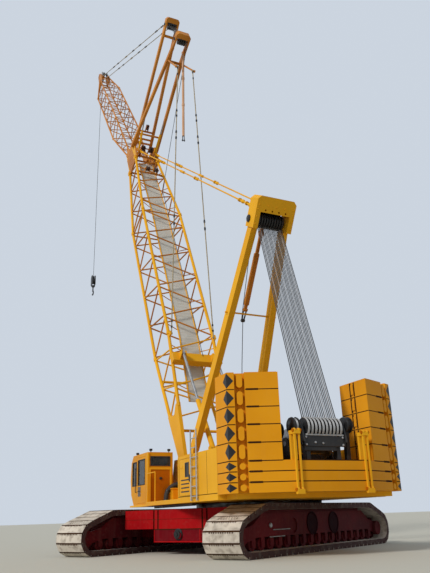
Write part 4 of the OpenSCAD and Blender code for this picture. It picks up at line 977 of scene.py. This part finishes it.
loops = [arc(x, -5.72, 3.34, 0.19, range(0, 361, 15)) for x in (-0.865, -0.835)]
lines("end_wheel_rope", loops, 0.016, ZINC, "upper")
guard = [beam(*ends((-0.66, 0.70), -5.87, 2.93), 0.30, 0.03, Z, 0.01),
         beam(*ends((-0.66, 0.40), -5.84, 2.74), 0.14, 0.04, Z, 0.01)]
finished(joined(guard, "block_guard"), BLACK, "upper")
rim = beam(*ends((-0.60, 0.64), -5.885, 3.095), 0.045, 0.05, Z, 0.01)
finished(joined([rim], "block_guard_rim"), ZINC, "upper")
bolt_places = [Vector((x, -5.885, z)) for x, z in ((-0.31, 2.89), (-0.06, 2.87), (-0.6, 3.03), (0.6, 3.03),
                                                 (-0.6, 2.83), (0.6, 2.83))]
finished(joined(bolts(bolt_places, -Y, 0.034, 0.03), "guard_bolts"), BRIGHT, "upper")

# %% [markdown]
# Inside the A-frame hangs a stiff link that is used when the frame is laid down for transport. It ends in a
# black clevis, from which a rope runs on down. The link is a slim bar with a thicker bevelled sleeve over it,
# and its end and the clevis pin are turned.

# %% Hanging link, clevis and ropes of the A-frame
BARREL = ((0, 0.05), (0.15, 0.065), (0.85, 0.065), (1, 0.05))
CLEVIS_PIN = ((0, 0.05), (0.2, 0.065), (0.8, 0.065), (1, 0.05))
link_top, link_end, clevis_end = a_frame(0, 8.55, -0.44), a_frame(0, 5.56, -0.51), a_frame(0, 5.16, -0.52)
collar = link_top.lerp(link_end, 0.06)
link = [beam(link_top, link_end, 0.12, 0.09, edge=0.012),
        beam(link_top.lerp(link_end, 0.30), link_top.lerp(link_end, 0.94), 0.19, 0.12, edge=0.02),
        turned(link_end - X * 0.09, link_end + X * 0.09, BARREL),
        beam(collar + Z * 0.09, collar - Z * 0.09, 0.18, 0.12, edge=0.015)]
finished(joined(link, "a_frame_link"), SHADED_YELLOW, "a_frame")
clevis = [beam(link_end + X * x, clevis_end + X * x * 0.6, 0.022, 0.09, edge=0.006) for x in (-0.06, 0.06)]
clevis.append(turned(clevis_end - X * 0.07, clevis_end + X * 0.07, CLEVIS_PIN))
for fitting in (a_frame(-0.46, 8.35, -0.30), a_frame(-0.42, 8.0, -0.34), a_frame(-0.40, 7.7, -0.36)):
    clevis.append(beam(fitting + Z * 0.14, fitting - Z * 0.14, 0.10, 0.08, edge=0.02))
finished(joined(clevis, "a_frame_clevis"), BLACK, "a_frame")
lines("a_frame_ropes", [[clevis_end, Vector((0, -1.19, 6.12)), Vector((0.02, -1.0, 4.6))],
                        [a_frame(-0.36, 8.1, -0.40), a_frame(-0.06, 5.2, -0.52)],
                        [a_frame(-0.46, 8.45, -0.3), a_frame(-0.40, 7.5, -0.38)]], 0.013, ROPE, "a_frame")

# %% [markdown]
# The head of the A-frame is closed by pins and bolted covers: bolt heads round its rear plate, a dark plate
# between its cheeks, and the caps of the sheaves' shafts on both sides. One bolt head is made and copied to
# each place, so that all of them look alike.

# %% Bolts, inner plate and shaft caps of the A-frame's head
REAR_PLATE = 0.331
along_frame, off_frame = a_frame(0, 1, 0) - a_frame(0, 0, 0), a_frame(0, 0, 1) - a_frame(0, 0, 0)
places = [a_frame(x, 9.36, REAR_PLATE) for x in (-0.66, -0.33, 0, 0.33, 0.66)]
places += [a_frame(x, l, REAR_PLATE) for x in (-0.69, 0.69) for l in (8.7, 8.95, 9.2)]
finished(joined(bolts(places, off_frame, 0.028, 0.022), "a_head_bolts"), YELLOW, "a_frame")
inner = beam(a_frame(-0.5, 9.28, -0.22), a_frame(0.5, 9.28, -0.22), 0.5, 0.03, along_frame, 0.006)
finished(joined([inner], "a_head_inner_plate"), BLACK, "a_frame")
caps = []
for side in (-1, 1):
    for x, l, h, r in ((0.75, 8.83, -0.11, 0.13), (0.60, 9.25, -0.43, 0.07)):
        cap = a_frame(side * x, l, h)
        caps.append(turned(cap, cap + X * side * 0.05, ((0, r), (0.6, r), (1, r * 0.75)), 24))
finished(joined(caps, "a_head_caps"), BLACK, "a_frame")

# %% [markdown]
# Long pendant ropes are made up of lengths that meet in sockets. A pair of sockets with the link between them
# is one turned piece, thick at both ends and thin in the middle. Each pair rides with the rope that it sits
# on, so the boom's, the A-frame's and the jib's are separate pieces.

# %% Sockets on pendants and stays
def coupling(a, b, share, length, radius):
    """A pair of sockets with a link between them, at a share of the way from a to b."""
    mid, half = a.lerp(b, share), (b - a).normalized() * length / 2
    cone = ((0, radius * 0.5), (0.12, radius), (0.28, radius), (0.3, radius * 0.4), (0.7, radius * 0.4),
            (0.72, radius), (0.88, radius), (1, radius * 0.5))
    return turned(mid - half, mid + half, cone, 12)


STAY_SOCKETS = ((0.02, 0.6, 0.035), (0.203, 0.5, 0.045), (0.293, 0.55, 0.045), (0.62, 0.6, 0.045), (0.97, 0.4, 0.04))
on_stays, on_pendants, on_jib_pendants = [], [], []
for side in (-1, 1):
    top, low = rear_strut(side * 0.415, 6.2, 2.15), boom(side * 0.98, 5.6, 1.06)
    on_stays += [coupling(top, low, share, length, radius) for share, length, radius in STAY_SOCKETS]
    a, b = boom(side * 0.48, 19.95, 0.905), a_frame(side * 0.48, 9.25, -0.43)
    on_pendants += [coupling(a, b, share, 0.5, 0.075) for share in (0.03, 0.26, 0.30, 0.62, 0.93, 0.97)]
    a, b = jib(side * 0.2, 15.9, 0.43), front_strut(side * 0.2, 7.3, -0.42)
    on_jib_pendants += [coupling(a, b, share, 0.42, 0.045) for share in (0.22, 0.30, 0.56, 0.66, 0.88, 0.95)]
finished(joined(on_stays, "stay_sockets"), BLACK, "boom")
finished(joined(on_pendants, "pendant_sockets"), YELLOW, "main_pendants")
finished(joined(on_jib_pendants, "jib_pendant_sockets"), BLACK, "jib_pendants")

# %% [markdown]
# From the rear strut's head hangs a long bar, kept there for taking the jib down. It is a round bar with
# collars and a forked end. It hangs straight down and not along the strut, so its ends are given in the row
# frame, and it rides on the boom with the strut.

# %% Hanging bar of the rear strut
bar_top, bar_low = Vector((0.3, 4.64, 24.7)), Vector((0.3, 4.74, 19.5))
hanging = [tube(bar_top, bar_low, 0.065, 12),
           beam(bar_top + Z * 0.1, bar_top - Z * 0.35, 0.14, 0.10, edge=0.015)]
for share in (0.3, 0.62):
    hanging.append(tube(bar_top.lerp(bar_low, share), bar_top.lerp(bar_low, share + 0.03), 0.08, 12))
finished(joined(hanging, "hanging_bar"), PALE, "boom")
fork = [beam(bar_low + X * 0.04 * s + Z * 0.1, bar_low + X * 0.05 * s - Z * 0.32, 0.02, 0.08, edge=0.004)
        for s in (-1, 1)]
fork.append(pin(bar_low - X * 0.08 - Z * 0.26, bar_low + X * 0.08 - Z * 0.26, 0.025))
finished(joined(fork, "hanging_fork"), BLACK, "boom")

# %% [markdown]
# At the feet of the two struts sit the guide sheaves of the ropes, with their shafts and brackets. A sheave
# is turned, and the dip in its rim is one more ring of a smaller radius. A bracket is a pair of bevelled
# plates. What stands on the front strut is made apart, because that strut moves with the jib.

# %% Guide sheaves and brackets at the boom's head
def sheave(at, radius):
    """A grooved sheave about an axis that runs across the crane."""
    hub, flank = radius * 0.4, radius * 0.9
    steps = ((0, hub), (0.08, hub), (0.08, flank), (0.16, radius), (0.5, radius * 0.86), (0.84, radius),
             (0.92, flank), (0.92, hub), (1, hub))
    return turned(at - X * 0.035, at + X * 0.035, steps, 24)


guides, brackets = [], []
for x in (-0.3, -0.18, 0.18, 0.3):
    guides += [sheave(boom(x, 20.3, 0.93), 0.18), sheave(boom(x, 18.2, 0.94), 0.14)]
strut_guide = [beam(front_strut(x, 1.50, 0.03), front_strut(x, 1.06, 0), 0.022, 0.2) for x in (-0.07, 0.07)]
for l, h in ((0.62, 0.02), (0.36, -0.02)):
    strut_guide.append(beam(front_strut(-0.45, l, h), front_strut(0.45, l, h), 0.1, 0.09, Z, 0.012))
finished(joined(strut_guide, "front_strut_guide"), SHADED_YELLOW, "strut_front")
finished(joined([sheave(front_strut(0, 1.36, 0.03), 0.17)], "front_strut_sheave"), DARK_STEEL_AND_HOLE_SHADE, "strut_front")
for x in (-0.37, -0.11, 0.11, 0.37):
    brackets.append(beam(boom(x, 20.3, 1.02), boom(x, 20.3, 0.45), 0.02, 0.16, edge=0.004))
    brackets.append(beam(boom(x, 18.2, 1.0), boom(x, 18.2, 0.62), 0.02, 0.13, edge=0.004))
for half, l, h, radius in ((0.42, 20.3, 0.935, 0.035), (0.42, 18.2, 0.935, 0.035), (0.78, 18.2, 0.66, 0.05)):
    brackets.append(tube(boom(-half, l, h), boom(half, l, h), radius, 12))
finished(joined(guides, "head_guide_sheaves"), DARK_STEEL_AND_HOLE_SHADE, "boom")
finished(joined(brackets, "head_sheave_brackets"), SHADED_YELLOW, "boom")

# %% [markdown]
# Two telescopic props, each a thin bright rod in a yellow tube, hold the rear strut up from the boom. Each
# strut ends in a row of sheaves between two cheeks, and the shaft shows on the cheeks as a turned cap with
# four bolts round it. The same lines make both heads, with the strut's own helper handed in.

# %% Props and shaft caps of the struts
props, prop_rods = [], []
for side in (-1, 1):
    low, high = boom(side * 0.5, 20.15, 0.75), rear_strut(side * 0.60, 2.2, -0.06)
    props.append(tube(low, low.lerp(high, 0.55), 0.06, 16))
    prop_rods.append(tube(low.lerp(high, 0.55), high, 0.035, 12))
finished(joined(props, "strut_props"), YELLOW, "boom")
finished(joined(prop_rods, "strut_prop_rods"), BRIGHT, "boom")
for strut, half, reach, body in ((front_strut, 0.385, FRONT_REACH, "strut_front"),
                                 (rear_strut, 0.40, REAR_REACH, "boom")):
    caps = []
    for side in (-1, 1):
        cap = strut(side * half, reach, 0)
        caps.append(turned(cap, cap + X * side * 0.04, ((0, 0.09), (0.6, 0.09), (1, 0.065)), 20))
        around = [strut(side * half, reach + l, h) for l, h in ((0.14, 0), (-0.14, 0), (0, 0.13), (0, -0.13))]
        caps += bolts(around, X * side, 0.018, 0.014)
    finished(joined(caps, body + "_shaft_caps"), BLACK, body)

# %% [markdown]
# At the jib's tip two small guide sheaves keep the rope in place, bolts close the cheeks of the tip sheave,
# and a lamp and a wind gauge stand upright over it. The lamp's foot, stem and head are one turned piece.

# %% Fittings of the jib's tip
tip_parts = [sheave(jib(x, 16.2, 0.48), 0.15) for x in (-0.09, 0.09)]
tip_parts.append(tube(jib(-0.22, 16.2, 0.48), jib(0.22, 16.2, 0.48), 0.03, 10))
for side in (-1, 1):
    around = [jib(side * 0.3392, JIB_REACH + l, h) for l, h in ((0.1, 0), (-0.1, 0), (0, 0.1), (0, -0.1))]
    tip_parts += bolts(around, X * side, 0.02, 0.016)
finished(joined(tip_parts, "tip_guides"), BLACK, "jib")
lamp_foot, gauge_foot = jib(-0.25, 16.3, 0.38), jib(0.28, 16.6, 0.30)
lamp_steps = ((0, 0.04), (0.5, 0.03), (0.55, 0.06), (0.9, 0.05), (1, 0.03))
tip_light = [turned(lamp_foot, lamp_foot + Z * 0.3, lamp_steps, 12),
             tube(gauge_foot, gauge_foot + Z * 0.22, 0.014, 8)]
finished(joined(tip_light, "tip_lamp_and_gauge"), ZINC, "jib")

# %% [markdown]
# The walkway on the boom is a tray of grating in a frame of angle bars. The bars are bevelled strips along
# both edges, with a rib down the middle and ribs across. They are laid on the same bent line as the tray, so
# they are worked out stretch by stretch between its bends, at a spacing that fits each stretch.

# %% Frame of the walkway
WALK_LINE = [(2.70, 0.248), (5.8, 0.615), (14.3, 0.615), (19.55, 0.315)]
RIB_SPACING = 1.2
trims, ribs = [], []
for (l0, h0), (l1, h1) in zip(WALK_LINE, WALK_LINE[1:]):
    for x in (-0.425, 0.425):
        trims.append(beam(boom(x, l0, h0 + 0.03), boom(x, l1, h1 + 0.03), 0.04, 0.09))
    ribs.append(beam(boom(0, l0, h0 - 0.004), boom(0, l1, h1 - 0.004), 0.035, 0.012, edge=0.003))
    count = max(2, round((l1 - l0) / RIB_SPACING))
    for k in range(count):
        share = (k + 0.5) / count
        l, h = l0 + (l1 - l0) * share, h0 + (h1 - h0) * share - 0.008
        ribs.append(beam(boom(-0.42, l, h), boom(0.42, l, h), 0.03, 0.02, Z, 0.003))
finished(joined(trims, "walkway_edges"), YELLOW, "boom")
finished(joined(ribs, "walkway_ribs"), ZINC, "boom")

# %% [markdown]
# The boom turns on two foot pins, which end in stepped bosses outside the foot's side plates. A boss is
# round, so it is turned, and its last ring is smaller, as on a pin with a shoulder.

# %% Foot pins of the boom
bosses = []
for side in (-1, 1):
    pin_end = Vector((side * 1.105, *BOOM_FOOT))
    bosses.append(turned(pin_end, pin_end + X * side * 0.07, ((0, 0.13), (0.4, 0.13), (0.5, 0.10), (1, 0.08)), 28))
finished(joined(bosses, "boom_foot_bosses"), BRIGHT, "boom")

# %% [markdown]
# Each machinery house has one hinged door with a slot window and four louvres. The dark pane, its seal, the louvre
# slots, whose shade is painted as thin black bars, their hoods, the handle and the hinge straps are all fixed to the
# door, so they ride on it and swing out with it. Thin bars are enough here, since louvres are pressed out of the same
# sheet.

# %% Fittings of the house doors
SLOT_HEIGHTS, HINGE_HEIGHTS, HOOD_RISE = (1.79, 1.90, 2.01, 2.12), (1.85, 2.5), 0.023
for body, side, rear, hinge in (("door_left", -1, -2.90, -2.06), ("door_right", 1, -0.10, 0.74)):
    middle, skin = rear + 0.25, side * HALF_WIDTH
    dark = [beam(*ends(skin - side * 0.008, middle, (2.215, 2.605)), 0.012, 0.275, edge=0.002),
            ring(Vector((skin, middle, 2.41)), Y * side, 0.27, 0.39, 0.03, 0.012),
            beam(*ends(skin + side * 0.018, rear + 0.05, (2.06, 2.26)), 0.03, 0.045, edge=0.008)]
    # The louvre slots are thin black bars of painted shade, just inside the skin.
    for z in SLOT_HEIGHTS:
        dark.append(beam(*ends(skin - side * 0.006, (rear + 0.105, hinge - 0.105), z), 0.008, 0.038, edge=0.001))
    finished(joined(dark, body + "_slot_pane_and_louvre_shade"), BLACK, body)
    hoods = [beam(*ends(skin + side * 0.006, (rear + 0.10, hinge - 0.10), z + HOOD_RISE), 0.02, 0.012, edge=0.003)
             for z in SLOT_HEIGHTS]
    hoods += [beam(*ends(skin + side * 0.003, (hinge - 0.22, hinge - 0.03), z), 0.014, 0.06, edge=0.003)
              for z in HINGE_HEIGHTS]
    finished(joined(hoods, body + "_hoods"), YELLOW, body)

# %% [markdown]
# The houses are panelled, and the shade in the joint along their foot and in the upright joints between the panels is
# painted as thin dark strips. Under the deck and between the houses, black beams and a wall of painted shade close
# the view, where the real machine is full of shaded steelwork. They are plain bevelled bars, because only their
# darkness shows.

# %% Painted shade in the panel joints of the houses, and behind them
joints = []
for side, front in ((-1, -1.93), (1, 0.87)):
    skin = side * (HALF_WIDTH - 0.0005)
    joints.append(beam(*ends(skin, (-4.76, front), 1.652), 0.006, 0.018, edge=0.001))
    for y in (-4.1, -3.3, front - 0.06):
        joints.append(beam(*ends(skin, y, (1.665, 2.80)), 0.006, 0.012, edge=0.001))
finished(joined(joints, "house_joint_shade"), GAP_SHADE, "upper")
# Black bars of painted shade under the deck, and a wall of it between the houses.
shaded = [beam(*ends(x, (-2.0, 1.45), 1.442), 0.12, 0.082, edge=0.01) for x in (-2.3, 2.3)]
shaded.append(beam(*ends((-1.3, 1.3), -4.35, 2.8), 0.03, 0.78, edge=0.006))
finished(joined(shaded, "painted_shade_under_deck_and_between_houses"), BLACK, "upper")

# %% [markdown]
# The ballast lies on the carbody's ends in layers, and it has two pairs of upright grooves on each face. The shade in
# its joints, in the grooves and along its lower edge is painted as dark strips and bars. Below it the carbody shows
# flanges and a black round boss with a ring of bolts: bars do for the flanges, and the boss is turned.

# %% Painted shade in the joints of the ballast, and the flanges and boss of the carbody
BALLAST_END, BALLAST_HALF = 2.793, 2.385
BOSS_X, BOSS_Z, BOLT_CIRCLE, BOLTS = -0.06, 0.59, 0.145, 8
BOSS_STEPS = ((0, 0.17), (0.25, 0.17), (0.35, 0.12), (0.8, 0.12), (0.82, 0.06), (1, 0.05))
dark, red = [], []
for s in (-1, 1):
    for z in (1.029, 1.319):
        face = [under(x, s * BALLAST_END, z) for x in (-BALLAST_HALF, BALLAST_HALF)]
        dark.append(beam(*face, 0.012, 0.03, along_track, 0.001))
        for x in (-2.383, 2.383):
            dark.append(beam(under(x, s * 1.86, z), under(x, s * 2.79, z), 0.012, 0.03, across_track, 0.001))
    for x in (-1.09, -0.91, 0.91, 1.09):
        dark.append(beam(under(x, s * 2.752, 0.76), under(x, s * 2.752, 1.33), 0.058, 0.02, across_track, 0.002))
    dark.append(beam(under(-1.09, s * 2.784, 0.742), under(1.09, s * 2.784, 0.742), 0.012, 0.026, along_track, 0.001))
    red.append(beam(under(-1.09, s * 2.79, 0.378), under(1.09, s * 2.79, 0.378), 0.02, 0.035, along_track, 0.004))
    for x, wide in ((-1.075, 0.03), (0.80, 0.035)):
        red.append(beam(under(x, s * 2.787, 0.40), under(x, s * 2.787, 0.73), wide, 0.015, across_track, 0.004))
finished(joined(dark, "ballast_joint_shade"), GAP_SHADE, "undercarriage")
finished(joined(red, "carbody_flanges"), RED, "undercarriage")
boss = [turned(under(BOSS_X, s * 2.775, BOSS_Z), under(BOSS_X, s * 2.90, BOSS_Z), BOSS_STEPS, 28) for s in (-1, 1)]
for s in (-1, 1):
    for k in range(BOLTS):
        turn = math.radians(45 * k + 20)
        x, z = BOSS_X + BOLT_CIRCLE * math.cos(turn), BOSS_Z + BOLT_CIRCLE * math.sin(turn)
        boss += bolts([under(x, s * 2.806, z)], along_track * s, 0.014, 0.014)
finished(joined(boss, "carbody_boss"), BLACK, "undercarriage")

# %% [markdown]
# The track frames carry dished covers, steps and a slide rail under the top run. A dished cover could be cut
# out of a disc, but a turned rim whose last ring is pushed back in has the same hollow and no seam.

# %% Covers, steps and slide rails of the track frames
TRACK_X, FRAME_HALF = 3.005, 0.309
DISH = ((0, 0.33), (0.8, 0.33), (1, 0.31), (0.25, 0.28))
covers, steps_on_frame, slides = [], [], []
for s in (-1, 1):
    for face in (-1, 1):
        skin = s * TRACK_X + face * FRAME_HALF
        covers += [turned(under(skin, u, z), under(skin + face * 0.03, u, z), DISH, 28)
                   for u, z in ((-0.4, 0.80), (0.98, 0.79))]
    out = s * (TRACK_X + 0.33)
    for u0, u1, z in ((-2.65, -1.75, 0.68), (-2.85, -2.05, 0.50)):
        steps_on_frame.append(tube(under(out, u0, z), under(out, u1, z), 0.016, 10))
        for u in (u0 + 0.03, u1 - 0.03):
            steps_on_frame.append(tube(under(out - s * 0.03, u, z), under(out, u, z), 0.012, 8))
    plug = [under(x, -2.75, 0.80) for x in (out - s * 0.022, out + s * 0.02)]
    steps_on_frame.append(turned(*plug, ((0, 0.07), (0.6, 0.07), (1, 0.05)), 20))
    slide = [under(s * TRACK_X, u, 1.154) for u in (-3.0, 3.0)]
    slides.append(beam(*slide, 0.5, 0.1, across_track, 0.01))
finished(joined(covers, "frame_covers"), SHADE, "undercarriage")
finished(joined(steps_on_frame, "frame_steps"), BRIGHT, "undercarriage")
finished(joined(slides, "top_run_slides"), MAROON, "undercarriage")

# %% [markdown]
# The shoes run round two end wheels, up a slope and along a level top run, the same path as in the CAD. To put
# something on every shoe, the path is written as one function: given a length along the loop, it says where
# that point is and which way is outwards. Half the loop is worked out, and the other half mirrors it.

# %% The loop of the track shoes
LOOP_LONG, LOOP_TALL, WHEEL, TOP_HALF, SHOES = 9.33, 1.38, 0.53, 3.3, 66
wheel_u = LOOP_LONG / 2 - WHEEL
run, rise = wheel_u - TOP_HALF, LOOP_TALL - WHEEL
slope_turn = math.atan2(rise, run) - math.asin(WHEEL / math.hypot(run, rise))
slope_long = math.sqrt(run ** 2 + rise ** 2 - WHEEL ** 2)
arc_end = wheel_u + WHEEL * (math.pi - slope_turn)
loop_long = 2 * (arc_end + slope_long + TOP_HALF)
pitch = loop_long / SHOES


def loop_at(s):
    """The point (u, z) and the outward angle at a length s along the loop, from the middle of the ground run."""
    s %= loop_long
    mirrored = s > loop_long / 2
    s = loop_long - s if mirrored else s
    if s < wheel_u:
        u, z, turn = s, 0, -math.pi / 2
    elif s < arc_end:
        turn = -math.pi / 2 + (s - wheel_u) / WHEEL
        u, z = wheel_u + WHEEL * math.cos(turn), WHEEL * (1 + math.sin(turn))
    elif s < arc_end + slope_long:
        up_slope, turn = s - arc_end, math.pi / 2 - slope_turn
        u = wheel_u + WHEEL * math.sin(slope_turn) - up_slope * math.cos(slope_turn)
        z = WHEEL * (1 + math.cos(slope_turn)) + up_slope * math.sin(slope_turn)
    else:
        u, z, turn = TOP_HALF - (s - arc_end - slope_long), LOOP_TALL, math.pi / 2
    return (-u, z, math.pi - turn) if mirrored else (u, z, turn)


print("loop", round(loop_long, 2), "m, a shoe every", round(pitch, 4), "m")

# %% [markdown]
# The shade in the gap between two shoes, in the comb of notches where the mud packs along each shoe's edge, and in
# the two rows of grip holes across its face is painted as small dark bars. One set of them is built flat, lying on
# its back, then copied to each shoe and turned to its place: its X across the track, its Y along the loop and its Z
# outwards. Shoes on the ground get none, because they are pressed into the floor.

# %% Painted shade in the gaps, combs and grip holes of the track shoes
ON_GROUND, LOW_SHOE, WHEEL_TOP = 0.02, 0.1, 1.0
pattern = [beam(*ends((-0.593, 0.593), 0, -0.025), 0.046, 0.05, Y, 0.002)]
for k in range(11):
    notch = (k - 5) * 0.075
    pattern.append(beam(*ends((notch - 0.018, notch + 0.018), 0.036, -0.008), 0.030, 0.016, Y, 0.002))
pattern = joined(pattern, "shoe_pattern")
grips = []
for x_shift, y in ((0, 0.115), (0.03, 0.19)):
    for k in range(8):
        x = (k - 3.5) * 0.088 + x_shift
        grips.append(beam(*ends((x - 0.014, x + 0.014), y, -0.010), 0.020, 0.012, Y, 0.002))
grips = joined(grips, "grip_pattern")


def laid(piece, side, u, z, turn, back=0.0, down=0.0):
    """A copy of a flat piece on a track, facing outwards, moved back along the loop and down by some way."""
    outward, onward = under(0, math.cos(turn), math.sin(turn)), under(0, -math.sin(turn), math.cos(turn))
    place = Matrix((across_track, onward, outward)).transposed().to_4x4()
    middle = under(side * TRACK_X, u, z) - outward * down - onward * back
    twin = copied(piece)
    twin.matrix_world = Matrix.Translation(middle) @ place
    return twin


for side, node in ((-1, "track_left"), (1, "track_right")):
    marks, dots = [], []
    for i in range(SHOES):
        u, z, turn = loop_at(i * pitch)
        if z < ON_GROUND:
            continue
        marks.append(laid(pattern, side, u, z, turn))
        shoe_u, shoe_z, shoe_turn = loop_at((i + 0.5) * pitch)
        if shoe_z >= LOW_SHOE:
            # A shoe is flat, so on a wheel its holes lie a little inside the arc
            sag = WHEEL * (1 - math.cos(pitch / 2 / WHEEL)) if z < WHEEL_TOP else 0
            dots.append(laid(grips, side, shoe_u, shoe_z, shoe_turn, 0.155, sag - 0.001))
    bpy.context.view_layer.update()
    finished(joined(marks, node + "_gap_and_comb_shade"), GAP_SHADE, "undercarriage", smooth=False)
    finished(joined(dots, node + "_grip_hole_shade"), DARK_STEEL_AND_HOLE_SHADE, "undercarriage", smooth=False)
for spare in (pattern, grips):
    bpy.data.objects.remove(spare, do_unlink=True)

# %% [markdown]
# Last, the view layer is brought up to date.

# %% Bring the view layer up to date
bpy.context.view_layer.update()
